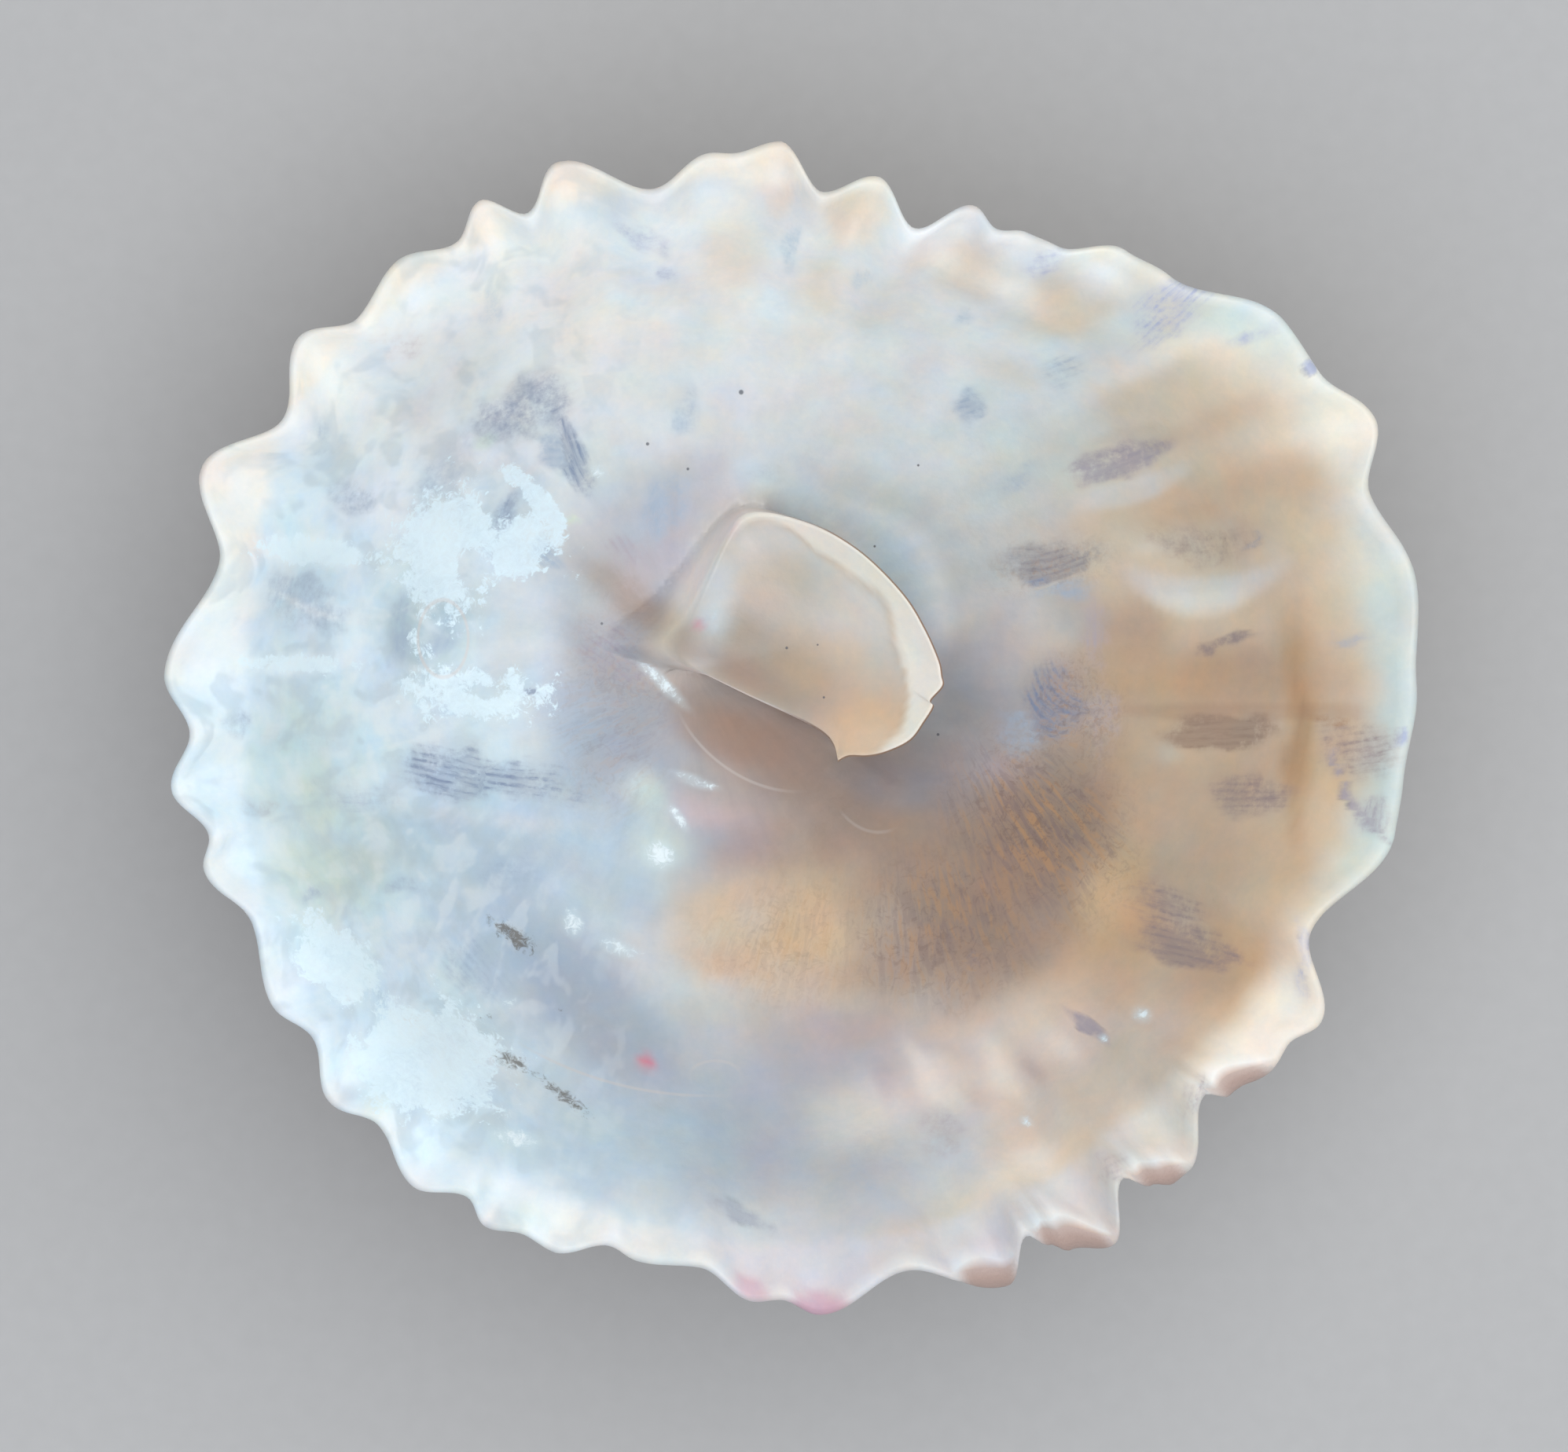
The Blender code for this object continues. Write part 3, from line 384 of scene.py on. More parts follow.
# Bright pearly glints: middle, half-length, half-width, turn and strength
GLINTS = (
    (-1.7, -0.15, 1.1, 0.18, -45, 0.85), (-0.6, -3.4, 0.75, 0.14, -18, 0.85),
    (-1.1, -4.6, 0.45, 0.15, -52, 0.85), (-1.7, -5.8, 0.5, 0.4, -20, 0.95),
    (-4.5, -8, 0.3, 0.42, 20, 0.9), (-3, -8.8, 0.7, 0.24, -22, 0.8), (-6.2, -14.75, 0.75, 0.24, -14, 0.9),
    (-6.6, -10.55, 0.4, 0.22, 10, 0.6), (-3.7, 6.6, 0.3, 0.25, 0, 0.7), (-3.1, 7.25, 0.3, 0.16, 20, 0.6),
    (-10.95, 6.35, 0.5, 0.12, 82, 0.6), (13.75, -10.85, 0.28, 0.24, 0, 0.8),
    (12.5, -11.6, 0.16, 0.12, 0, 0.9), (10.1, -14.3, 0.18, 0.14, 0, 0.9),
)

# Dark dirt caught in fine growth lines: middle, half-length, half-width, turn and strength
DIRT = (
    (-6.4, -8.4, 0.95, 0.3, -36, 1), (-7.2, -11, 0.4, 0.12, 0, 0.8), (-6.4, -12.35, 0.7, 0.24, -25, 1),
    (-4.7, -13.5, 1.05, 0.2, -36, 1), (-5, -10.8, 0.35, 0.1, -20, 0.8),
)

# Where the fine warm threads of the lower layer show: middle, half-length, half-width, turn, strength
THREADS = (
    (10.6, -5, 2.6, 2, -50, 1), (7.6, -8, 2.6, 2, 15, 0.7), (11.6, -1.4, 1.2, 1.6, 0, 0.6),
    (11, 3.6, 1.6, 0.8, 10, 0.4), (-3.2, -1.2, 1.6, 3, 0, 0.3), (2.6, -8.6, 2.4, 1.8, 0, 0.35),
)

# Dust specks, each with its radius
SPECKS = (
    (0.93, 9.15, 0.1), (-0.8, 6.7, 0.06), (-2.1, 7.5, 0.07), (-3.6, 1.7, 0.06), (6.65, 6.8, 0.05),
    (5.25, 4.2, 0.05), (2.4, 0.9, 0.06), (3.6, -0.7, 0.05), (3.4, 1, 0.04), (7.3, -1.9, 0.06),
)

# Hairlines of old growth, each part of an oval outline: middle, half-length, half-width, turn,
# the place and the reach within which it shows, and its strength
HAIRLINES = (
    (1.6, -1.1, 3.3, 2.2, -37, 0.4, -3.2, 2.8, 0.3), (-1, -6, 9.5, 7.4, -12, -3, -13.1, 4, 0.45),
    (0.1, -12.9, 0.85, 0.5, 0, 0.1, -12.4, 1.2, 0.35), (5.2, -3.4, 1.4, 1.7, 20, 4.9, -5, 1.2, 0.2),
    (-8.7, 1.2, 0.8, 1.25, 0, -8.7, 1.2, 2.4, 0.5),
)

# The warm threads run out from this place, and this far out they are as far apart as they should be
THREAD_CENTRE = np.array((5.6, 2.4))
THREAD_RADIUS = 9.0
STRIPES_PER_MILLIMETRE = 4.2

PAINT = {name: np.array(linear(value)) for name, value in PAINTS.items()}

# The pale margin band: bearing, where it begins as a distance from the outline's centre, and its paint
BAND = (
    (0, 18.4, "sea"), (12, 18.5, "sea"), (28, 18.9, "milk"), (42, 19.1, "aqua"), (58, 17.6, "milk"),
    (90, 17.2, "milk"), (120, 18.2, "milk"), (150, 18.6, "milk"), (166, 17.4, "snow"),
    (178, 17.1, "frost_and_glare"), (195, 17.4, "frost_and_glare"), (218, 17.4, "frost_and_glare"), (233, 17, "frost_and_glare"),
    (247, 16.4, "snow"), (268, 16.3, "lavender"), (292, 16.25, "lavender"), (312, 16.25, "pearl"),
    (322, 16.7, "milk"), (332, 17.1, "milk"), (340, 17.1, "cream"), (350, 17.9, "sea"),
    (360, 18.4, "sea"),
)

# The half-cup: stains inside it, stains of its flank, and its glints
CUP_STAINS = (
    (4.5, 2.6, 2.8, 1.6, -38, "pearl", 0.9), (2.3, 4.3, 1.8, 0.9, 22, "pearl", 0.9),
    (1.8, 2.6, 1.4, 1.2, 0, "putty", 0.8), (2.2, 2.8, 1.6, 1.2, 0, "beige", 0.2),
    (1.6, 0.6, 2.6, 1.1, -27, "beige", 1), (1, 0.1, 2, 0.5, -27, "umber", 0.75),
    # The mist stain on the half-cup's left wall is a painted highlight
    (3.4, -0.7, 1.7, 0.8, -27, "beige", 0.5), (0, 2.1, 0.6, 1.5, -14, "mist", 0.9),
    (3.8, 0.3, 1.4, 1.1, -27, "apricot", 0.35), (5.2, -1.7, 1.6, 1, 15, "apricot", 0.95),
    (5.1, -2.1, 0.9, 0.5, 15, "peach", 0.35), (-0.5, 1, 1, 0.5, -30, "umber", 0.4),
    (0.75, 4.9, 0.12, 0.4, -25, "pink", 0.5), (-0.45, 1.65, 0.16, 0.18, 0, "pink", 0.5),
)
FLANK_STAINS = (
    (-0.5, 4.9, 0.8, 0.7, 0, "lilac", 0.4), (-0.6, 3.3, 1.9, 0.6, 66, "blossom", 0.95),
    (-1.4, 1.6, 1.1, 0.6, -42, "sand", 0.8), (-2.4, 2, 1, 0.7, -42, "umber", 0.8),
)

# The flank faces this way from this point on the rim, and takes the tint of the floor further down
FLANK_TOP = np.array((0.4, 4.3))
FLANK_FACING = np.array((-0.91, 0.41))

# The paler band inside the free rim: bearing about the half-cup's middle, and width
CUP_BAND = (
    (0, 1.15), (15, 0.85), (37, 0.55), (53, 0.5), (83, 0.8), (105, 0.85), (114, 0.4), (125, 0.25),
    (145, 0), (285, 0), (318, 0.7), (342, 1.3), (360, 1.15),
)

# Glints of the half-cup, in the columns of the others
CUP_GLINTS = (
    (0.05, 1.9, 0.14, 0.55, 0, 0.45), (0.35, 2.6, 0.3, 1, -15, 0.2),
)

# Width of the blend between the tints of the half-cup and of the floor
SEAM_BLEND = 1.1

# Half the width of the stage's floor in metres, where the lights point, and the middle of the view
FLOOR_HALF = 1.5
LIT_SPOT = Vector((2.0, -1.0, 6.0))
VIEW_MIDDLE = (2.3125, -1.625, 11.5)


def smooth_step(low, high, value):
    """Rise smoothly from 0 at low to 1 at high."""
    share = np.clip((value - low) / (high - low), 0.0, 1.0)
    return share * share * (3.0 - 2.0 * share)


def blend(start, end, share):
    """Go from start to end by a share."""
    return start + (end - start) * share


def painted(under, over, cover):
    """Lay one tint over another by how far it covers each point."""
    return blend(under, over, cover[:, None])


def follow(stations, place):
    """Follow a smooth curve through stations of place and height."""
    at, height = np.array(stations).T
    slope = np.empty(len(at))
    slope[1:-1] = (height[2:] - height[:-2]) / (at[2:] - at[:-2])
    slope[0] = (height[1] - height[0]) / (at[1] - at[0])
    slope[-1] = (height[-1] - height[-2]) / (at[-1] - at[-2])
    index = np.clip(np.searchsorted(at, place) - 1, 0, len(at) - 2)
    span = at[index + 1] - at[index]
    share = (place - at[index]) / span
    square = share * share
    cube = square * share
    return (
        (2.0 * cube - 3.0 * square + 1.0) * height[index]
        + (cube - 2.0 * square + share) * slope[index] * span
        + (3.0 * square - 2.0 * cube) * height[index + 1]
        + (cube - square) * slope[index + 1] * span
    )


def margin_at(bearing):
    """Give the reach and the fold of the margin, with rounded crests and gaps."""
    first = MARGIN[0, 0]
    closed = np.vstack((MARGIN, MARGIN[0] + (360.0, 0.0, 0.0)))
    turned = (bearing - first) % 360.0 + first
    index = np.clip(np.searchsorted(closed[:, 0], turned, side="right") - 1, 0, len(MARGIN) - 1)
    start, end = closed[index], closed[index + 1]
    share = (turned - start[..., 0]) / (end[..., 0] - start[..., 0])
    eased = 0.5 - 0.5 * np.cos(np.pi * share)
    return tuple(blend(start[..., column], end[..., column], eased) for column in (1, 2))


def averaged_margin(bearing, spread):
    """Give the reach and the fold of the margin, averaged over this many degrees to each side."""
    reach, fold = margin_at(bearing[:, None] + np.linspace(-spread, spread, 25))
    return reach.mean(axis=1), fold.mean(axis=1)


def curl_at(bearing):
    """Give how far a curled rib end reaches beyond the rim."""
    curl = np.zeros_like(bearing)
    for first, last, reach in CURLED_RIBS:
        curl += reach * np.sin(np.pi * np.clip((bearing - first) / (last - first), 0.0, 1.0))
    return curl


def from_centre(bearing, reach):
    """Give the points at a bearing and reach from the outline centre."""
    angle = np.radians(bearing)
    return OUTLINE_CENTRE + np.stack((np.cos(angle), np.sin(angle)), axis=-1) * reach[:, None]


def oval(points, x, y, long, wide, turn, bend=0.0):
    """Give how far out of an oval mark points lie, 1 at its edge, and their place along and across it."""
    angle = math.radians(turn)
    away = points - (x, y)
    along = away @ (math.cos(angle), math.sin(angle))
    across = away @ (-math.sin(angle), math.cos(angle)) - bend * along * along
    return (along / long) ** 2 + (across / wide) ** 2, along, across


def soft_waves(points, lengths, seed):
    """Add up soft waves in fixed random directions, for a natural unevenness about zero."""
    draw = np.random.default_rng(seed)
    total = np.zeros(len(points))
    for length in lengths:
        for _ in range(3):
            angle, phase = draw.uniform(0.0, 2.0 * np.pi, 2)
            along = points @ (math.cos(angle), math.sin(angle))
            total += np.sin(along * 2.0 * np.pi / length + phase)
    return total / (3.0 * len(lengths))


def dimple_drop(points):
    """Give the depth of the dimples of the inner face."""
    drop = np.zeros(len(points))
    for *mark, depth in DIMPLES:
        drop += depth * np.clip(1.0 - oval(points, *mark)[0], 0.0, 1.0) ** 1.6
    return drop


class Ring:
    """One ring of the saucer, this share of the way from the apex to the margin."""

    def __init__(self, share):
        thinned = 2 ** sum(share < limit for limit in THINNED_BELOW)
        self.bearing = np.arange(0, SPOKES, thinned) * 360.0 / SPOKES
        self.share = np.full(len(self.bearing), share)
        self.reach, self.fold = margin_at(self.bearing)
        self.even = averaged_margin(self.bearing, SCALLOPS_SPREAD)[0]
        self.curl = curl_at(self.bearing)

    def plan(self, reach, share):
        """Give the ring's points seen from above, for this reach of the margin."""
        even = from_centre(self.bearing, self.even - LIP_REACH)
        scalloped = smooth_step(SCALLOPS_FROM, 1.0, share)[:, None]
        return painted(APEX, even, share) + (from_centre(self.bearing, reach) - even) * scalloped

    def fold_drop(self, fold, share):
        """Give how far the wall is folded down at a rib, or up between ribs."""
        away = np.abs(self.bearing - STRONG_FOLD_MIDDLE) / STRONG_FOLD_HALF_WIDTH
        strong = STRONG_FOLD_DEPTH * (1.0 - smooth_step(0.5, 1.0, away))
        depth = FOLD_DEPTH * smooth_step(FOLDS_FROM, 1.0, share)
        return fold * (depth + strong * smooth_step(STRONG_FOLDS_FROM, 1.0, share))

    def inner(self):
        """Give the points of the inner face."""
        crisp = smooth_step(CRISP_FROM, 1.0, self.share)
        round_reach, round_fold = averaged_margin(self.bearing, ROUNDING_SPREAD)
        inset = LIP_REACH + self.curl * smooth_step(CURLS_FROM, 1.0, self.share)
        place = self.plan(blend(round_reach, self.reach, crisp) - inset, self.share)
        folded = self.fold_drop(blend(round_fold, self.fold, crisp), self.share)
        return np.column_stack((place, follow(INNER_PROFILE, self.share) - folded - dimple_drop(place)))

    def outer(self):
        """Give the points of the outer face before its ribs, and which way the ribs stand out."""
        angle = np.radians(self.bearing)
        near_check = smooth_step(0.3, 0.45, self.share) * (1.0 - smooth_step(0.87, 1.0, self.share))
        wave = np.sin(5.0 * angle + 1.0) + np.sin(11.0 * angle + 2.0) + 0.6 * np.sin(23.0 * angle)
        share = self.share + CHECK_WAVE * wave * near_check
        outward = from_centre(self.bearing, self.even) - APEX
        run = np.linalg.norm(outward, axis=1)
        height = follow(OUTER_PROFILE, share)
        slope = np.arctan2(height - follow(OUTER_PROFILE, share - STEP_LENGTH), run * STEP_LENGTH)
        curl = self.curl * smooth_step(0.85, 1.0, share) * CURL_SLOPE
        height = height - self.fold_drop(self.fold, share) - curl
        way = np.column_stack((outward / run[:, None] * np.sin(slope)[:, None], -np.cos(slope)))
        return np.column_stack((self.plan(self.reach, share), height)), way


def growth_layer(share):
    """Give how far through its growth layer each share lies, from 0 at its start to 1 at its check."""
    layer = np.zeros_like(share)
    for start, check in zip((RIBS_FROM, *GROWTH_CHECKS), GROWTH_CHECKS):
        inside = (share > start) & (share <= check + 1e-6)
        layer[inside] = (share[inside] - start) / (check - start)
    return layer


def ring_faces(first, first_count, second, second_count):
    """Join two rings of points, also where one has half as many as the other."""
    if first_count < second_count:
        return ring_faces(second, second_count, first, first_count)[:, ::-1]
    here = np.arange(second_count)
    near, far = second + here, second + (here + 1) % second_count
    if first_count == second_count:
        return np.column_stack((first + here, first + (here + 1) % first_count, far, near))
    low, middle, high = first + 2 * here, first + 2 * here + 1, first + 2 * ((here + 1) % second_count)
    return np.vstack([np.column_stack(corners) for corners in
                      ((low, middle, near), (middle, far, near), (middle, high, far))])


def skin_faces(counts):
    """Join rings of points in turn, and close the first and the last, each with a middle point."""
    starts = [0, *np.cumsum(counts).tolist()]
    faces = []
    for index, (near, far) in enumerate(zip(counts, counts[1:])):
        faces.extend(ring_faces(starts[index], near, starts[index + 1], far).tolist())
    for start, count, middle in ((0, counts[0], starts[-1]), (starts[-2], counts[-1], starts[-1] + 1)):
        faces.extend([start + here, start + (here + 1) % count, middle] for here in range(count))
    return faces


def mesh_from(name, points, faces):
    """Write a closed mesh in metres with its faces pointing out."""
    data = bpy.data.meshes.new(name)
    data.from_pydata((points * MM).tolist(), [], faces)
    mesh = bmesh.new()
    mesh.from_mesh(data)
    bmesh.ops.recalc_face_normals(mesh, faces=mesh.faces)
    mesh.to_mesh(data)
    mesh.free()
    data.shade_smooth()
    thing = bpy.data.objects.new(name, data)
    bpy.context.scene.collection.objects.link(thing)
    return thing


def write_attribute(data, name, kind, values):
    """Store one value for each point of a mesh."""
    key = {"FLOAT": "value", "FLOAT_VECTOR": "vector", "FLOAT_COLOR": "color"}[kind]
    attribute = data.attributes.new(name, kind, "POINT")
    attribute.data.foreach_set(key, np.asarray(values, dtype=np.float32).ravel())


def read_points(data):
    """Give the points of a mesh in millimetres."""
    points = np.empty(len(data.vertices) * 3)
    data.vertices.foreach_get("co", points)
    return points.reshape(-1, 3) / MM


def make_plain(thing):
    """Turn an object with live modifiers into a plain mesh object."""
    evaluated = thing.evaluated_get(bpy.context.evaluated_depsgraph_get())
    data = bpy.data.meshes.new_from_object(evaluated)
    thing.modifiers.clear()
    old = thing.data
    thing.data = data
    bpy.data.meshes.remove(old)


def build_saucer():
    """Make the saucer before its ribs, with what the relief needs to know at each point."""
    shares = []
    share = FIRST_RING
    while share < 1.0 - 0.5 * INNER_RING_GAP:
        shares.append(share)
        share += INNER_RING_GAP
    layers = []
    for share in (*shares, 1.0):
        ring = Ring(share)
        layers.append((ring, ring.inner(), np.tile(UP, (len(ring.share), 1)), 0.0 * ring.share))
    rim = Ring(1.0)
    inside = rim.inner()
    outside, way = rim.outer()
    for step in LIP_STEPS:
        quarter = step * np.pi / 2.0
        round_lip = np.array((np.sin(quarter), np.sin(quarter), 1.0 - np.cos(quarter)))
        outer = np.clip(rim.curl * 2.0, 0.0, 1.0) * smooth_step(0.0, 0.3, step)
        layers.append((rim, blend(inside, outside, round_lip), way, outer))
    for share in OUTER_RINGS:
        ring = Ring(share)
        layers.append((ring, *ring.outer(), np.ones(len(ring.share))))
    rings, points, ways, outers = zip(*layers)
    middles = np.array(((*APEX, INNER_PROFILE[0][1]), (*APEX, 0.0)))
    faces = skin_faces([len(ring.share) for ring in rings])
    saucer = mesh_from("saucer", np.vstack((*points, middles)), faces)
    share, fold, bearing = (
        np.concatenate([getattr(ring, name) for ring in rings] + [np.zeros(2)])
        for name in ("share", "fold", "bearing")
    )
    write_attribute(saucer.data, "way", "FLOAT_VECTOR", np.vstack((*ways, UP, -UP)))
    crest = (0.5 + 0.5 * fold) ** 1.3
    outer = np.concatenate((*outers, (0.0, 1.0)))
    for name, values in zip(SAUCER_MARKS, (share, crest, growth_layer(share), np.radians(bearing), outer)):
        write_attribute(saucer.data, name, "FLOAT", values)
    return saucer


def connect(tree, pairs):
    """Set or link each input, given with its value."""
    for socket, value in pairs:
        if isinstance(value, bpy.types.NodeSocket):
            tree.links.new(value, socket)
        elif value is not None:
            socket.default_value = value


def node(tree, kind, *values, out=0, **settings):
    """Add a node with its settings and links, and give the outputs that are asked for.

    A kind in capitals is a step of arithmetic, and one of the short kinds has its settings with it. Values
    go to the inputs that the node shows, in their order, and None leaves an input as it is.
    """
    kind, more = SHORT_KINDS.get(kind, (kind, {}))
    if kind.isupper():
        kind, more = "Math", {"operation": kind}
    made = tree.nodes.new(kind if "Node" in kind else "ShaderNode" + kind)
    for name, value in {**more, **settings}.items():
        setattr(made, name, value)
    connect(tree, zip([socket for socket in made.inputs if socket.enabled], values))
    if isinstance(out, str) or not made.outputs:
        return made.outputs[out] if made.outputs else made
    return [socket for socket in made.outputs if socket.enabled][out]


def relief_tree(glaze, chalk):
    """Build the tree that raises the ribs, growth steps and fine relief on the saucer."""
    tree = bpy.data.node_groups.new("shell_relief", "GeometryNodeTree")
    add = partial(node, tree)
    sockets = tree.interface
    sockets.new_socket("Geometry", in_out="INPUT", socket_type="NodeSocketGeometry")
    for name in ShellSizes.__annotations__:
        socket = sockets.new_socket(name.replace("_", " ").capitalize(), in_out="INPUT",
                                    socket_type="NodeSocketFloat")
        socket.subtype = "NONE" if name in COUNTS else "DISTANCE"
    sockets.new_socket("Geometry", in_out="OUTPUT", socket_type="NodeSocketGeometry")
    entry = tree.nodes.new("NodeGroupInput").outputs
    share, crest, layer, bearing, outer = (
        add("GeometryNodeInputNamedAttribute", name, data_type="FLOAT") for name in SAUCER_MARKS
    )
    way = add("GeometryNodeInputNamedAttribute", "way", data_type="FLOAT_VECTOR")
    place = add("GeometryNodeInputPosition")
    wander, pits, uneven = (
        add("TexNoise", place, entry["Seed"], scale, detail, noise_dimensions="4D")
        for scale, detail in ((260.0, 2.0), (900.0, 3.0), (330.0, 2.0))
    )

    # Ribs with a shingle-like step at each growth check, and a knob where a rib crosses it
    knob = add("MULTIPLY_ADD", entry["Knob height"], crest, entry["Step height"])
    shingle = add("MULTIPLY_ADD", layer, layer, -0.5)
    ribs = add("MULTIPLY_ADD", knob, shingle, add("MULTIPLY", entry["Rib height"], crest))

    # Riblets follow the bearing, and wander a little, and fine growth lines fill each layer
    riblet = add("COSINE", add("MULTIPLY_ADD", wander, 5.0, add("MULTIPLY", bearing, entry["Riblets"])))
    ribs = add("MULTIPLY_ADD", riblet, entry["Riblet height"], ribs)
    line = add("MULTIPLY_ADD", wander, 1.6, add("MULTIPLY", layer, entry["Lines in a layer"]))
    line = add("SINE", add("MULTIPLY", line, 2.0 * math.pi))
    ribs = add("MULTIPLY_ADD", line, entry["Line height"], ribs)
    ribs = add("MULTIPLY", ribs, add("rise", share, RIBS_FROM, 0.5))
    ribs = add("MULTIPLY", ribs, add("rise", share, 0.9, 1.0, 1.0, 0.0))

    # Worm-eaten pits in the chalky outside, and an inner face that is only faintly uneven
    pits = add("MULTIPLY", add("rise", pits, 0.56, 0.72), entry["Pit depth"])
    rough = add("MULTIPLY", add("SUBTRACT", ribs, pits), outer)
    uneven = add("MULTIPLY", add("SUBTRACT", uneven, 0.5), entry["Waviness"])
    height = add("MULTIPLY_ADD", uneven, add("SUBTRACT", 1.0, outer), rough)

    # Nothing sinks below the surface that the shell rests on
    moved = add("VectorMath", place, add("scale", way, height), operation="ADD")
    x, y, z = add("SeparateXYZ", moved, out=slice(3))
    moved = add("CombineXYZ", x, y, add("MAXIMUM", z, 0.0))
    shape = add("GeometryNodeSetPosition", entry["Geometry"], None, moved)
    shape = add("GeometryNodeRealizeInstances", shape)
    shape = add("GeometryNodeSetMaterial", shape, None, glaze)
    outside = add("FunctionNodeCompare", outer, 0.5, operation="GREATER_THAN")
    add("NodeGroupOutput", add("GeometryNodeSetMaterial", shape, outside, chalk))
    return tree


def raise_relief(saucer, sizes, glaze, chalk):
    """Run the relief tree on the saucer and keep its result as a plain mesh."""
    modifier = saucer.modifiers.new("relief", "NODES")
    modifier.node_group = relief_tree(glaze, chalk)
    for socket in modifier.node_group.interface.items_tree:
        field = socket.name.replace(" ", "_").lower()
        if hasattr(sizes, field):
            modifier[socket.identifier] = float(getattr(sizes, field))
    make_plain(saucer)


def floor_height(place):
    """Give the height of the saucer's floor below a place near the apex."""
    toward = place + (place - APEX) - OUTLINE_CENTRE
    bearing = np.degrees(np.arctan2(toward[1:], toward[:1])) % 360.0
    margin = from_centre(bearing, averaged_margin(bearing, SCALLOPS_SPREAD)[0])[0]
    return float(follow(INNER_PROFILE, np.linalg.norm(place - APEX) / np.linalg.norm(margin - APEX)))


def trough_height(place):
    """Give the height of the half-cup's trough at a place."""
    along = (place - TROUGH_ROOT) @ TROUGH_DIRECTION
    return TROUGH_HEIGHT + TROUGH_RISE * along + TROUGH_CURVE * along * along


def cup_rim_points():
    """Follow the rim of the half-cup smoothly, with a sharp corner at its tip."""
    last = len(CUP_RIM) - 1
    points = []
    for index in range(last):
        before, start, end, after = (CUP_RIM[min(max(index + step, 0), last)] for step in (-1, 0, 1, 2))
        for share in np.arange(CUP_STEPS_PER_SPAN) / CUP_STEPS_PER_SPAN:
            points.append(0.5 * (
                2.0 * start
                + (end - before) * share
                + (2.0 * before - 5.0 * start + 4.0 * end - after) * share ** 2
                + (3.0 * start - before - 3.0 * end + after) * share ** 3
            ))
    return np.array(points)


def cup_column(rim, even, sizes):
    """Give one column of the half-cup: up its dish, over its rim and back under it.

    The corners of the rim fade out inwards, where the dish follows an even rim.
    """
    edge = rim[:2]
    flare = max(rim[3], 0.0)
    joined = min(max(rim[4], 0.0), 1.0)
    reach = np.linalg.norm(edge - CUP_MIDDLE)
    outward = (edge - CUP_MIDDLE) / reach
    top, under, side = [], [], []
    for share in CUP_RINGS:
        guide = blend(even[:3], rim[:3], smooth_step(CORNERS_FROM, 1.0, share))
        place = blend(CUP_MIDDLE, guide[:2], share)
        lip = guide[2] - trough_height(guide[:2])
        height = trough_height(place) + lip * share ** CUP_DISH_POWER
        from_rim = (1.0 - share) * reach
        height -= sizes.growth_step / MM * (1.0 - joined) * (1.0 - smooth_step(0.7, 1.25, from_rim))
        wall = blend(blend(sizes.edge / MM, CUP_WALL, smooth_step(0.0, 1.6, from_rim)), CUP_WALL, joined)
        rooted = joined * smooth_step(CUP_JOINED_FROM, 0.8, share)
        below = blend(height - wall, floor_height(place) - FOOT_DEPTH, rooted)
        top.append((*place, height))
        under.append((*place, min(below, height - wall)))
    foot = floor_height(edge + outward * flare) - FOOT_DEPTH * 0.5
    rim_height, under_height = top[-1][2], under[-1][2]
    for step in FOOT_STEPS:
        bulge = CUP_EDGE_ROUND * math.sin(math.pi * step)
        flared = blend(foot, rim_height, (1.0 - step) ** 2)
        height = blend(blend(rim_height, under_height, step), flared, joined)
        side.append((*(edge + outward * (flare * step + bulge)), height))
    return top + side + under[::-1]


def build_cup(sizes):
    """Make the half-cup, a scoop joined to the floor on its left and free on its right."""
    rim = cup_rim_points()
    around = range(-CORNERS_SPREAD, CORNERS_SPREAD + 1)
    even = np.mean([np.roll(rim, step, axis=0) for step in around], axis=0)
    columns = np.array([cup_column(edge, guide, sizes) for edge, guide in zip(rim, even)])
    count, levels = columns.shape[:2]
    height = trough_height(CUP_MIDDLE)
    middles = ((*CUP_MIDDLE, height), (*CUP_MIDDLE, height - CUP_WALL))
    points = np.vstack((columns.transpose(1, 0, 2).reshape(-1, 3), middles))
    cup = mesh_from("half_cup", points, skin_faces([count] * levels))
    level = np.arange(count * levels) // count
    top = level < len(CUP_RINGS)
    share = np.where(top, np.array(CUP_RINGS)[np.minimum(level, len(CUP_RINGS) - 1)], 1.0)
    inward = (1.0 - share) * np.tile(np.linalg.norm(rim[:, :2] - CUP_MIDDLE, axis=1), levels)
    return cup, {"cup_top": np.append(top, (1.0, 0.0)), "cup_inward": np.append(inward, (3.0, 0.0))}


def nearest(originals, points):
    """Give for each point the nearest original point and how far it is."""
    tree = KDTree(len(originals))
    for index, point in enumerate(originals):
        tree.insert(point, index)
    tree.balance()
    _, indices, distances = zip(*[tree.find(point) for point in points])
    return np.array(indices), np.array(distances)


def soften_seam(data, points, from_seam, width):
    """Round the hollow where the half-cup meets the floor by averaging neighbours there."""
    weight = 1.0 - smooth_step(width * 0.25, width, from_seam)
    ends = np.empty(len(data.edges) * 2, dtype=np.int64)
    data.edges.foreach_get("vertices", ends)
    ends = ends.reshape(-1, 2)
    degree = np.bincount(ends.ravel(), minlength=len(points))[:, None]
    for _ in range(SEAM_ROUNDS):
        total = np.zeros_like(points)
        for here, there in (ends.T, ends.T[::-1]):
            np.add.at(total, here, points[there])
        points = painted(points, total / degree, 0.5 * weight)
    return points


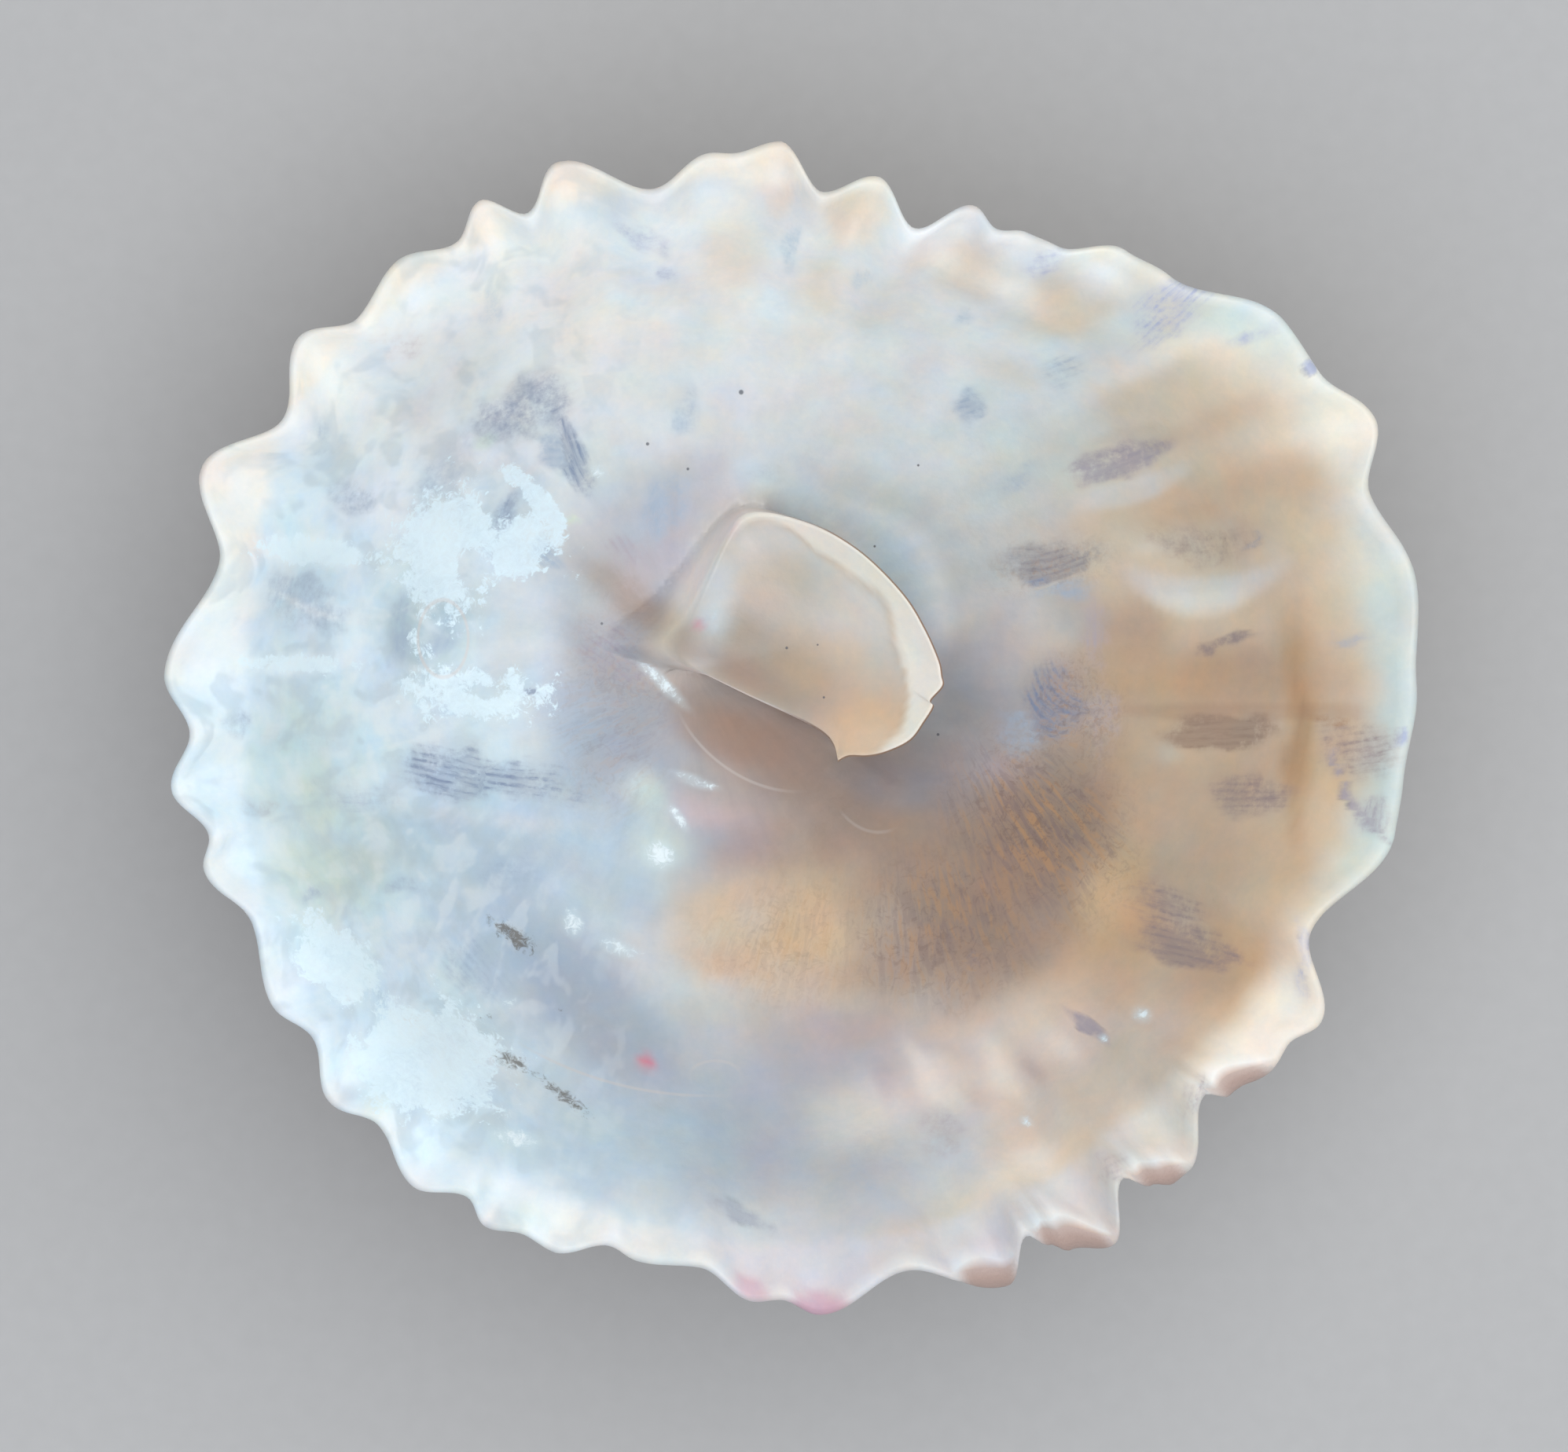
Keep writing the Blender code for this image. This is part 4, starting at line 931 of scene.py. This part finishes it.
def join_cup(saucer, cup, cup_marks, sizes):
    """Grow the half-cup onto the saucer as one closed skin, and say what each point belongs to."""
    saucer_points, cup_points = read_points(saucer.data), read_points(cup.data)
    off_saucer, off_cup = np.zeros(len(saucer_points)), np.zeros(len(cup_points))
    stored = {}
    for name in SAUCER_MARKS:
        values = np.empty(len(saucer_points))
        saucer.data.attributes[name].data.foreach_get("value", values)
        stored[name] = np.append(values, off_cup)
    for name, values in {"cup": off_cup + 1.0, **cup_marks}.items():
        stored[name] = np.append(off_saucer, values)
    union = saucer.modifiers.new("half_cup", "BOOLEAN")
    union.operation = "UNION"
    union.solver = "EXACT"
    union.object = cup
    make_plain(saucer)
    bpy.data.objects.remove(cup)
    points = read_points(saucer.data)
    origin, away = nearest(np.vstack((saucer_points, cup_points)), points)
    from_seam = nearest(points[away > NEW_POINT], points)[1]
    points = soften_seam(saucer.data, points, from_seam, sizes.fillet / MM)
    saucer.data.vertices.foreach_set("co", (points * MM).ravel())
    saucer.data.update()
    stored = {name: values[origin] for name, values in stored.items()}
    return points, {**stored, "from_seam": from_seam}


def cover_of(points, *mark, power=1.4):
    """Give how far a soft oval mark covers each point."""
    return np.exp(-0.7 * oval(points, *mark)[0] ** power)


def stain(tint, points, rows, power=1.4):
    """Lay soft oval stains over a tint, each one over those before it."""
    for *mark, name, strength in rows:
        tint = painted(tint, PAINT[name], strength * cover_of(points, *mark, power=power))
    return tint


def heaped(points, rows, power=1.0):
    """Give how strongly a set of soft oval marks covers each point, where one below zero opens a hole."""
    total = np.zeros(len(points))
    for *mark, strength in rows:
        cover = strength * cover_of(points, *mark, power=power)
        total = total * (1.0 + cover) if strength < 0.0 else np.maximum(total, cover)
    return total


def margin_tint(tint, plan, stored):
    """Lay the pale margin band, the warm rib tips and the curled rib ends over a tint."""
    share = stored["share"]
    angle = np.degrees(stored["bearing"]) % 360.0
    bearings, begins, names = zip(*BAND)
    out = np.linalg.norm(plan - OUTLINE_CENTRE, axis=1)
    beyond = out + 0.25 * soft_waves(plan, (1.7, 3.1), 12) - np.interp(angle, bearings, begins)
    right_side = np.clip(1.0 - smooth_step(45.0, 62.0, angle) + smooth_step(300.0, 345.0, angle), 0.0, 1.0)
    band = smooth_step(-1.0, 1.0, (beyond - 0.15) / blend(0.25, 0.9, right_side))
    channels = np.array([PAINT[name] for name in names]).T
    pale = np.column_stack([np.interp(angle, bearings, channel) for channel in channels])
    tint = painted(tint, pale, 0.85 * band)

    low_side = smooth_step(205.0, 235.0, angle) * (1.0 - smooth_step(335.0, 350.0, angle))
    tips = smooth_step(0.95, 0.995, share) * smooth_step(0.5, 0.95, stored["crest"])
    tips = tips * (1.0 - right_side) * (0.6 + 0.6 * soft_waves(plan, (3.0, 5.0), 21))
    tint = painted(tint, painted(PAINT["peach"], PAINT["blush"], low_side), 0.35 * tips)
    tint = painted(tint, PAINT["snow"], 0.25 * smooth_step(0.985, 1.0, share) * (1.0 - tips))

    # A rib end that curls under shows a pale lip, a painted highlight, and beyond it its warm
    # underside, darkened in its middle by painted shade
    curl = curl_at(angle)
    lip = smooth_step(0.965, 1.0, share) * smooth_step(0.02, 0.25, curl) * (1.0 - stored["outer"])
    tint = painted(tint, PAINT["glare"], 0.35 * lip)
    under = smooth_step(0.98, 0.99, share) * smooth_step(0.02, 0.15, curl) * stored["outer"]
    shaded = painted(PAINT["rose"], PAINT["bister"], smooth_step(0.1, 0.7, curl))
    return stain(painted(tint, shaded, under), plan, TIP_STAINS, 2.4)


def inside_tint(plan, place, stored):
    """Give the tint of the inner face, blue-white on the left and sandy on the right."""
    tint = painted(PAINT["ice"], PAINT["mist"], smooth_step(-13.0, 1.0, place @ (1.0, 0.15)))
    tint = painted(tint, PAINT["sand"], smooth_step(6.0, 15.0, place @ (1.0, -0.3)))
    tint = stain(tint, place, STAINS)
    crisp = blend(plan, place, 0.3)
    for *mark, name, strength, bend in PATCHES:
        tint = painted(tint, PAINT[name], strength * cover_of(crisp, *mark, bend, power=2.4))
    return margin_tint(tint, plan, stored)


def down_flank(plan):
    """Give how far down the flank of the half-cup each point lies, as seen from above."""
    return smooth_step(0.4, 1.5, (plan - FLANK_TOP) @ FLANK_FACING)


def cup_tint(plan, floor_tint, stored):
    """Give the tint of the half-cup: milky inside, warm towards its tip, with a paler rim band."""
    putty, cocoa, rose = (np.tile(PAINT[name], (len(plan), 1)) for name in ("putty", "cocoa", "rose"))
    away = plan - CUP_MIDDLE
    bearing = np.degrees(np.arctan2(away[:, 1], away[:, 0])) % 360.0
    width = np.interp(bearing, *zip(*CUP_BAND))
    inside = stored["cup_inward"] - width
    band = (1.0 - smooth_step(-0.12, 0.12, inside)) * smooth_step(0.0, 0.3, width)
    top = painted(stain(putty, plan, CUP_STAINS), PAINT["milk"], 0.9 * band)
    line = np.exp(-(inside / 0.12) ** 2) * smooth_step(0.1, 0.5, width)
    top = painted(top, PAINT["tan"], 0.45 * line)
    flank = painted(stain(rose, plan, FLANK_STAINS), floor_tint, down_flank(plan))
    # Towards its free edge the half-cup's outside and underside go cocoa, a painted shade under the
    # overhang
    side = painted(flank, cocoa, smooth_step(1.6, 3.4, plan @ (1.0, 0.1)))
    return painted(side, top, stored["cup_top"])


def windows_of(plan, warped):
    """Give the paint and the strength of the thin places, and how their stripes run."""
    spun = plan - THREAD_CENTRE
    away = np.linalg.norm(spun, axis=1)
    grain = np.column_stack((spun / away[:, None] * THREAD_RADIUS, away))
    window = np.zeros((len(plan), 4))
    striped = np.zeros(len(plan))
    for index, (*mark, name, strength, stripes, bend) in enumerate(WINDOWS):
        cover = strength * cover_of(warped, *mark, bend, power=1.8)
        wins = cover > np.maximum(window[:, 3], 0.02)
        window[wins, :3] = PAINT[name]
        window[wins, 3] = cover[wins]
        striped[wins] = stripes
        _, along, across = oval(plan[wins], *mark, bend)
        grain[wins] = np.column_stack((across + 5.0 * index, along, 0.0 * along))
    return window, striped, grain


def store_marks(data, points, stored):
    """Write what the finishes read: tints, windows, stripes and growth."""
    plan = points[:, :2]
    wander, ragged = (
        np.column_stack([soft_waves(plan, lengths, seed) for seed in seeds])
        for lengths, seeds in (((2.3, 4.1, 7.0), (3, 8)), ((0.8, 1.4, 2.2), (31, 37)))
    )
    place = plan + 0.55 * wander
    floor = inside_tint(plan, place, stored)
    grown = blend(0.5, stored["cup"], smooth_step(0.0, SEAM_BLEND, stored["from_seam"]))
    tint = painted(floor, cup_tint(plan, floor, stored), grown)
    window, striped, grain = windows_of(plan, plan + 0.3 * wander + 0.4 * ragged)
    bare = 1.0 - stored["cup"] * (1.0 - down_flank(plan))
    window[:, 3] *= bare
    # Painted reflections on the glaze, drawn as frosted flakes, and painted glints
    frost_and_glare = heaped(plan + 0.2 * wander, PAINTED_GLARE) * bare
    glint = heaped(plan, GLINTS) * bare + heaped(plan, CUP_GLINTS) * stored["cup"] * stored["cup_top"]
    dirt = heaped(plan, DIRT) * bare
    threads = heaped(place, THREADS, 1.4) * bare
    angle = stored["bearing"]
    for name, kind, columns in (
        ("tint", "FLOAT_COLOR", (tint, frost_and_glare)),
        ("window", "FLOAT_COLOR", (window,)),
        ("grain", "FLOAT_VECTOR", (grain,)),
        ("marks", "FLOAT_COLOR", (dirt, threads, glint, striped)),
        ("polar", "FLOAT_VECTOR", (10.0 * np.cos(angle), 10.0 * np.sin(angle), 20.0 * stored["share"])),
        ("growth", "FLOAT_VECTOR", (stored["share"], stored["crest"], stored["layer"])),
    ):
        write_attribute(data, name, kind, np.column_stack(columns))


def new_material(name):
    """Start a material, and give what adds nodes to it."""
    material = bpy.data.materials.new(name)
    material.use_nodes = True
    return material, partial(node, material.node_tree)


def finished(material, inputs):
    """Give a material's surface these inputs."""
    tree = material.node_tree
    surface = tree.nodes["Principled BSDF"]
    connect(tree, [(surface.inputs[name], value) for name, value in inputs.items()])
    return material


def lumps(add, place, scale, detail, roughness, distortion=0.0):
    """Give an unevenness about zero, from about -0.5 to 0.5, with this many lumps to a millimetre."""
    noise = add("TexNoise", place, scale, detail, roughness, None, distortion)
    return add("MapRange", noise, 0.3, 0.7, -0.5, 0.5)


def coated(add, colour, coats):
    """Lay coats over a colour in turn: how far each covers it, its strength and its paint."""
    for amount, strength, paint in coats:
        over = opaque(paint) if isinstance(paint, str) else paint
        colour = add("cover", add("MULTIPLY", amount, strength), colour, over)
    return colour


def hairline(add, plan, x, y, long, wide, turn, near_x, near_y, reach):
    """Give a thin line along part of an oval outline."""
    angle = math.radians(turn)
    away = add("VectorMath", plan, (x, y, 0.0), operation="SUBTRACT")
    square = 0.0
    for part in ((math.cos(angle) / long, math.sin(angle) / long, 0.0),
                 (-math.sin(angle) / wide, math.cos(angle) / wide, 0.0)):
        along = add("VectorMath", away, part, operation="DOT_PRODUCT")
        square = add("MULTIPLY_ADD", along, along, square)
    off_line = add("ABSOLUTE", add("SUBTRACT", add("SQRT", square), 1.0))
    line = add("rise", off_line, 0.07 / min(long, wide), 0.015 / min(long, wide))
    near = add("distance", plan, (near_x, near_y, 0.0))
    return add("MULTIPLY", line, add("rise", near, reach, reach * 0.4))


def mosaic_coats(add, plan, polar, share):
    """Towards the left, thick and thin parts of the wall make a mosaic, in line with ribs and growth."""
    mosaic = lumps(add, add("stretch", polar, (1.2, 1.2, 0.7)), 1.0, 2.0, 0.6, 0.3)
    left = add("MULTIPLY", add("rise", add("SeparateXYZ", plan), 1.0, -8.0), add("rise", share, 0.3, 0.6))
    return [
        (add("MULTIPLY", add("rise", mosaic, 0.0, end), left), 0.3, paint)
        for end, paint in ((0.34, "#A9BBC6"), (-0.34, "#E9F0F3"))
    ]


def window_coat(add, grain, window, striped, ragged):
    """A window is a soft veil, with broken stripes along it about a quarter of a millimetre apart."""
    paint, _, _, amount = window
    wavy = lumps(add, add("stretch", grain, (0.7, 0.5, 0.7)), 1.0, 1.0, 0.5)
    fibres = lumps(add, add("stretch", grain, (7.0, 1.1, 1.0)), 1.0, 4.0, 0.65, 0.3)
    lines = add("MULTIPLY", add("SeparateXYZ", grain), 2.0 * math.pi * STRIPES_PER_MILLIMETRE)
    lines = add("MULTIPLY", add("SINE", add("MULTIPLY_ADD", wavy, 3.0, lines)), 0.3)
    lines = add("rise", add("MULTIPLY_ADD", fibres, 1.5, lines), -0.4, 0.8)
    edge = add("rise", add("MULTIPLY", amount, ragged), 0.06, 0.8)
    veil = add("MULTIPLY_ADD", striped, -0.4, 0.8)
    stripes = add("MULTIPLY_ADD", add("MULTIPLY", lines, striped), 0.5, veil)
    return [(add("MULTIPLY", edge, stripes), 1.0, paint)]


def thread_coats(add, place, grain, threads):
    """Fine warm threads of the layer below, a fifth of a millimetre apart, in a darker net."""
    thread = lumps(add, add("stretch", grain, (4.5, 4.5, 0.9)), 1.0, 3.0, 0.6, 0.5)
    net = lumps(add, place, 2.6, 5.0, 0.7, 1.5)
    return [
        (add("MULTIPLY", add("rise", over, *span), threads), strength, paint)
        for over, span, strength, paint in (
            (thread, (0.02, 0.3), 0.5, "#BC8D5C"),
            (thread, (-0.02, -0.3), 0.4, "#6F6069"),
            (net, (0.02, 0.3), 0.5, "#775F55"),
        )
    ]


def crackled_coats(add, place, frost_and_glare, glint):
    """Painted reflections drawn as frosted flakes end in crackled edges and are finely cracked; painted
    glints have a core in a faint halo.
    """
    crackle = lumps(add, place, 3.4, 8.0, 0.75, 1.2)
    glare_flake = add("MULTIPLY_ADD", crackle, 0.4, frost_and_glare)
    glare_flake = add("MULTIPLY_ADD", lumps(add, place, 1.1, 3.0, 0.6), 0.45, glare_flake)
    glare_flake = add("MULTIPLY", add("rise", glare_flake, 0.38, 0.52), add("rise", frost_and_glare, 0.0, 0.12))
    core = add("rise", add("MULTIPLY_ADD", crackle, 0.8, glint), 0.45, 0.95)
    return crackle, [
        (add("MULTIPLY", glare_flake, add("MULTIPLY_ADD", crackle, 0.6, 0.7)), 1.0, "#E0F4FF"),
        (add("rise", glint, 0.1, 0.7), 0.4, "#CFE3EC"),
        (add("MULTIPLY", core, add("rise", glint, 0.02, 0.2)), 1.0, "#E6F3FA"),
    ]


def dirt_coats(add, plan, dirt, crackle):
    """Dirt keeps to the lines that caught it, and dust lies on top."""
    smudge = add("rise", add("MULTIPLY_ADD", crackle, 0.9, dirt), 0.5, 1.0)
    return [(smudge, 0.8, "#5A544C")] + [
        (add("rise", add("distance", plan, (x, y, 0.0)), radius, radius * 0.5), 0.8, "#4E525C")
        for x, y, radius in SPECKS
    ]


def glazed_aragonite():
    """Polished inner layer of aragonite: a porcelain-like gloss over soft milky depth.

    The eye sees pale clouds, thin violet windows with fine stripes, painted reflections as frosted flakes
    and painted pearly glints.
    """
    material, add = new_material("glazed_aragonite")
    metres = add("TexCoord", out="Object")
    place = add("stretch", metres, (1.0 / MM, 1.0 / MM, 1.0 / MM))
    plan = add("stretch", metres, (1.0 / MM, 1.0 / MM, 0.0))
    tint, window, marks = (
        add("Attribute", attribute_name=name, out=slice(4)) for name in ("tint", "window", "marks")
    )
    grain, polar, growth = (
        add("Attribute", attribute_name=name, out="Vector") for name in ("grain", "polar", "growth")
    )
    dirt, threads, glint = add("SeparateColor", marks[0], out=slice(3))
    share = add("SeparateXYZ", growth)

    # Clouds a few millimetres across, a fine mottle of 0.3 mm, and patches that follow ribs and growth
    clouds = lumps(add, place, 0.45, 5.0, 0.62)
    mottle = lumps(add, place, 3.2, 6.0, 0.7)
    patches = lumps(add, add("stretch", polar, (0.9, 0.9, 0.45)), 1.0, 4.0, 0.6)
    shade = 1.0
    for unevenness, strength in ((clouds, 0.08), (mottle, 0.05), (patches, 0.08)):
        shade = add("MULTIPLY_ADD", unevenness, strength, shade)
    colour = add("scale", tint[0], shade)

    # The milk drifts from cool to warm, and from a green to a pink pearl
    for drift, first, second in (
        ((0.8, 4.0, 0.6), (0.95, 1.01, 1.05), (1.05, 1.0, 0.93)),
        ((0.5, 3.0, 0.55), (0.98, 1.013, 0.985), (1.022, 0.985, 1.008)),
    ):
        amount = add("ADD", lumps(add, place, *drift), 0.5)
        colour = add("cover", amount, add("stretch", colour, first), add("stretch", colour, second))

    ragged = add("ADD", add("ADD", mottle, 1.0), patches)
    crackle, crackled = crackled_coats(add, place, tint[3], glint)
    colour = coated(add, colour, [
        *mosaic_coats(add, plan, polar, share),
        *window_coat(add, grain, window, marks[3], ragged),
        *thread_coats(add, place, grain, threads),
        *crackled,
        *[(hairline(add, plan, *row), strength, "#D0C9C6") for *row, strength in HAIRLINES],
        *dirt_coats(add, plan, dirt, crackle),
    ])

    # The margin is duller than the floor
    dull = add("rise", share, 0.7, 0.95)
    ripple = add("TexNoise", place, 1.3, 4.0, 0.55)
    return finished(material, {
        "Base Color": colour,
        "Roughness": add("MULTIPLY_ADD", dull, 0.25, 0.3),
        "Coat Weight": add("MULTIPLY_ADD", dull, -0.35, 0.4),
        "Coat Roughness": 0.12,
        "Normal": add("Bump", 0.3, 0.1 * MM, None, ripple),
        "IOR": 1.53,
        "Subsurface Weight": 0.2,
        "Subsurface Radius": (1.0, 0.8, 0.65),
        "Subsurface Scale": 0.4 * MM,
    })


def chalky_aragonite():
    """Weathered outer layer: dry and chalky, with growth bands, brown skin in gaps and pale worn ribs."""
    material, add = new_material("chalky_aragonite")
    place = add("stretch", add("TexCoord", out="Object"), (1.0 / MM, 1.0 / MM, 1.0 / MM))
    growth = add("Attribute", attribute_name="growth", out="Vector")
    share, crest, layer = add("SeparateXYZ", growth, out=slice(3))
    clouds = add("TexNoise", place, 0.55, 6.0, 0.65)
    grit = add("TexNoise", place, 6.0, 5.0, 0.7)

    # Growth bands about a millimetre apart, brown skin in the gaps between ribs, and clean worn crests
    bands = add("SINE", add("MULTIPLY", add("MULTIPLY_ADD", clouds, 0.08, share), 95.0))
    bands = add("MULTIPLY_ADD", clouds, 1.6, bands)
    skin = add("MULTIPLY", add("MULTIPLY_ADD", grit, 1.2, -0.35), add("rise", crest, 0.45, 0.0))
    worn = add("MULTIPLY_ADD", grit, 0.6, add("MULTIPLY_ADD", layer, 0.5, crest))
    rim = add("rise", share, 0.965, 0.998)
    colour = coated(add, opaque("#D9CCBA"), (
        (add("rise", bands, -0.4, 2.0), 1.0, "#B9A18A"),
        (add("rise", skin, 0.1, 0.5), 0.6, "#8D7560"),
        (add("rise", layer, 0.16, 0.0), 0.35, "#8A7766"),
        (add("rise", worn, 1.2, 1.75), 0.65, "#E9E2D8"),
        (add("rise", share, 0.42, 0.24), 1.0, "#DDD6CD"),
        (rim, 1.0, add("Attribute", attribute_name="tint", out="Color")),
    ))
    return finished(material, {
        "Base Color": colour,
        "Roughness": add("MULTIPLY_ADD", grit, 0.15, add("MULTIPLY_ADD", rim, -0.25, 0.66)),
        "Normal": add("Bump", 0.5, 0.1 * MM, None, grit),
        "IOR": 1.53,
    })


def pale_card(colour):
    """Matt studio card: an even pale grey with a tooth too fine to see, which keeps reflections soft."""
    material, add = new_material("pale_card")
    tooth = add("TexNoise", add("TexCoord", out="Object"), 1500.0, 3.0)
    shade = add("MapRange", tooth, 0.3, 0.7, 0.985, 1.015)
    return finished(material, {"Base Color": add("scale", tuple(colour), shade), "Roughness": 0.85})


def length_field(name, description, default):
    """Describe a length that a user may change."""
    return bpy.props.FloatProperty(name=name, description=description, default=default,
                                   unit="LENGTH", subtype="DISTANCE", precision=5)


def strength_field(name, description, default):
    """Describe a strength that a user may change."""
    return bpy.props.FloatProperty(name=name, description=description, default=default, min=0.0)


class ShellSizes(bpy.types.PropertyGroup):
    """Sizes of the saucer's relief."""

    rib_height: length_field("Rib height", "Height of a rib on the outside", 0.75 * MM)
    step_height: length_field("Step height", "Step at each growth check", 0.22 * MM)
    knob_height: length_field("Knob height", "Extra step where a rib crosses a growth check", 0.42 * MM)
    riblet_height: length_field("Riblet height", "Height of the fine riblets between the ribs", 0.06 * MM)
    line_height: length_field("Line height", "Height of the fine growth lines", 0.03 * MM)
    pit_depth: length_field("Pit depth", "Depth of the worm-eaten pits outside", 0.1 * MM)
    waviness: length_field("Waviness", "Unevenness of the glazed inner face", 0.12 * MM)
    riblets: bpy.props.IntProperty(
        name="Riblets", description="Fine riblets all the way round", default=170, min=0)
    lines_in_a_layer: bpy.props.IntProperty(
        name="Lines in a layer", description="Fine growth lines in each growth layer", default=4, min=0)
    seed: bpy.props.IntProperty(name="Seed", description="Seed of the unevenness", default=5)


class CupSizes(bpy.types.PropertyGroup):
    """Sizes of the half-cup."""

    edge: length_field("Edge", "Thickness of the free edge", 0.2 * MM)
    growth_step: length_field("Growth step", "Step at the growth line inside the rim", 0.08 * MM)
    fillet: length_field("Fillet", "Width of the rounding where the half-cup meets the floor", 0.8 * MM)


class StageLook(bpy.types.PropertyGroup):
    """Floor, light and camera of the stage."""

    floor_colour: bpy.props.FloatVectorProperty(
        name="Floor colour", description="Colour of the pale card", size=3, min=0.0, max=1.0,
        default=linear("#B6B7B9"), subtype="COLOR")
    sky_strength: strength_field("Fill light", "Strength of the even light from all round", 0.63)
    key_power: strength_field("Key light", "Power of the soft key light in watts", 0.22)
    glint_power: strength_field("Glint light", "Power of the low light that the glaze mirrors", 0.02)
    view_distance: length_field("View distance", "From the camera to the plane of the margin", 0.5)
    view_width: length_field("View width", "Width of the picture at the plane of the margin", 49.875 * MM)


class SHELL_OT_grow_shell(bpy.types.Operator):
    """Grow the saucer with its half-cup as one piece, and finish its faces"""

    bl_idname = "shell.grow_shell"
    bl_label = "Grow the shell"

    def execute(self, context):
        scene = context.scene
        glaze = glazed_aragonite()
        chalk = chalky_aragonite()
        shell = build_saucer()
        raise_relief(shell, scene.shell_sizes, glaze, chalk)
        cup, cup_marks = build_cup(scene.cup_sizes)
        cup.data.materials.append(glaze)
        points, stored = join_cup(shell, cup, cup_marks, scene.cup_sizes)
        if stored["cup"].all() or not stored["cup"].any():
            raise RuntimeError("the half-cup could not be joined to the saucer")
        shell.name = "grown_shell"
        shell.data.name = "grown_shell"
        shell.data.shade_smooth()
        store_marks(shell.data, points, stored)
        for name in ("way", *SAUCER_MARKS):
            shell.data.attributes.remove(shell.data.attributes[name])
        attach(shell, "root")
        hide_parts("shell")
        return {"FINISHED"}


class SHELL_OT_set_stage(bpy.types.Operator):
    """Lay the floor, hang the lights and place the camera straight above"""

    bl_idname = "shell.set_stage"
    bl_label = "Set the stage"

    def execute(self, context):
        scene = context.scene
        look = scene.stage_look
        data = bpy.data.meshes.new("floor")
        corners = [(x * FLOOR_HALF, y * FLOOR_HALF, 0.0) for x, y in ((-1, -1), (1, -1), (1, 1), (-1, 1))]
        data.from_pydata(corners, [], [(0, 1, 2, 3)])
        floor = bpy.data.objects.new("floor", data)
        scene.collection.objects.link(floor)
        data.materials.append(pale_card(look.floor_colour))

        sky = bpy.data.worlds.new("soft_sky")
        sky.use_nodes = True
        background = sky.node_tree.nodes["Background"]
        background.inputs["Color"].default_value = opaque("#F4F6F8")
        background.inputs["Strength"].default_value = look.sky_strength
        scene.world = sky

        lights = (
            ("key", (0.06, 0.05, 0.2), (0.26, 0.26), look.key_power, "#FFFCF6"),
            ("fill", (-0.04, -0.09, 0.2), (0.2, 0.2), look.key_power * 0.6, "#F4F8FF"),
            ("glint", (0.17, -0.02, 0.075), (0.035, 0.05), look.glint_power, "#F4F9FF"),
        )
        for name, place, size, power, colour in lights:
            light = bpy.data.lights.new(name, "AREA")
            light.shape = "RECTANGLE"
            light.size, light.size_y = size
            light.energy = power
            light.color = linear(colour)
            lamp = bpy.data.objects.new(name, light)
            scene.collection.objects.link(lamp)
            lamp.location = place
            lamp.rotation_euler = (LIT_SPOT * MM - lamp.location).to_track_quat("-Z", "Y").to_euler()

        view = bpy.data.cameras.new("camera")
        view.lens = view.sensor_width * look.view_distance / look.view_width
        view.clip_start = 0.05
        view.clip_end = 10.0
        camera = bpy.data.objects.new("camera", view)
        scene.collection.objects.link(camera)
        x, y, margin_height = VIEW_MIDDLE
        camera.location = (x * MM, y * MM, margin_height * MM + look.view_distance)
        scene.camera = camera
        scene.view_settings.view_transform = "Standard"
        return {"FINISHED"}


class SHELL_PT_panel(bpy.types.Panel):
    """Lists the steps that grow the shell and set its stage"""

    bl_idname = "SHELL_PT_panel"
    bl_label = "Cup-and-saucer shell"
    bl_space_type = "VIEW_3D"
    bl_region_type = "UI"
    bl_category = "Shell"

    def draw(self, context):
        for group in GROUPS:
            box = self.layout.box()
            for name in GROUPS[group].__annotations__:
                box.prop(getattr(context.scene, group), name)
        self.layout.operator(SHELL_OT_grow_shell.bl_idname)
        self.layout.operator(SHELL_OT_set_stage.bl_idname)


GROUPS = {"shell_sizes": ShellSizes, "cup_sizes": CupSizes, "stage_look": StageLook}
CLASSES = (*GROUPS.values(), SHELL_OT_grow_shell, SHELL_OT_set_stage, SHELL_PT_panel)


def register():
    for kind in CLASSES:
        bpy.utils.register_class(kind)
    for name, kind in GROUPS.items():
        setattr(bpy.types.Scene, name, bpy.props.PointerProperty(type=kind))


def unregister():
    for name in GROUPS:
        delattr(bpy.types.Scene, name)
    for kind in reversed(CLASSES):
        bpy.utils.unregister_class(kind)


def main():
    register()
    bpy.ops.shell.grow_shell()
    bpy.ops.shell.set_stage()


if __name__ == "__main__":
    main()
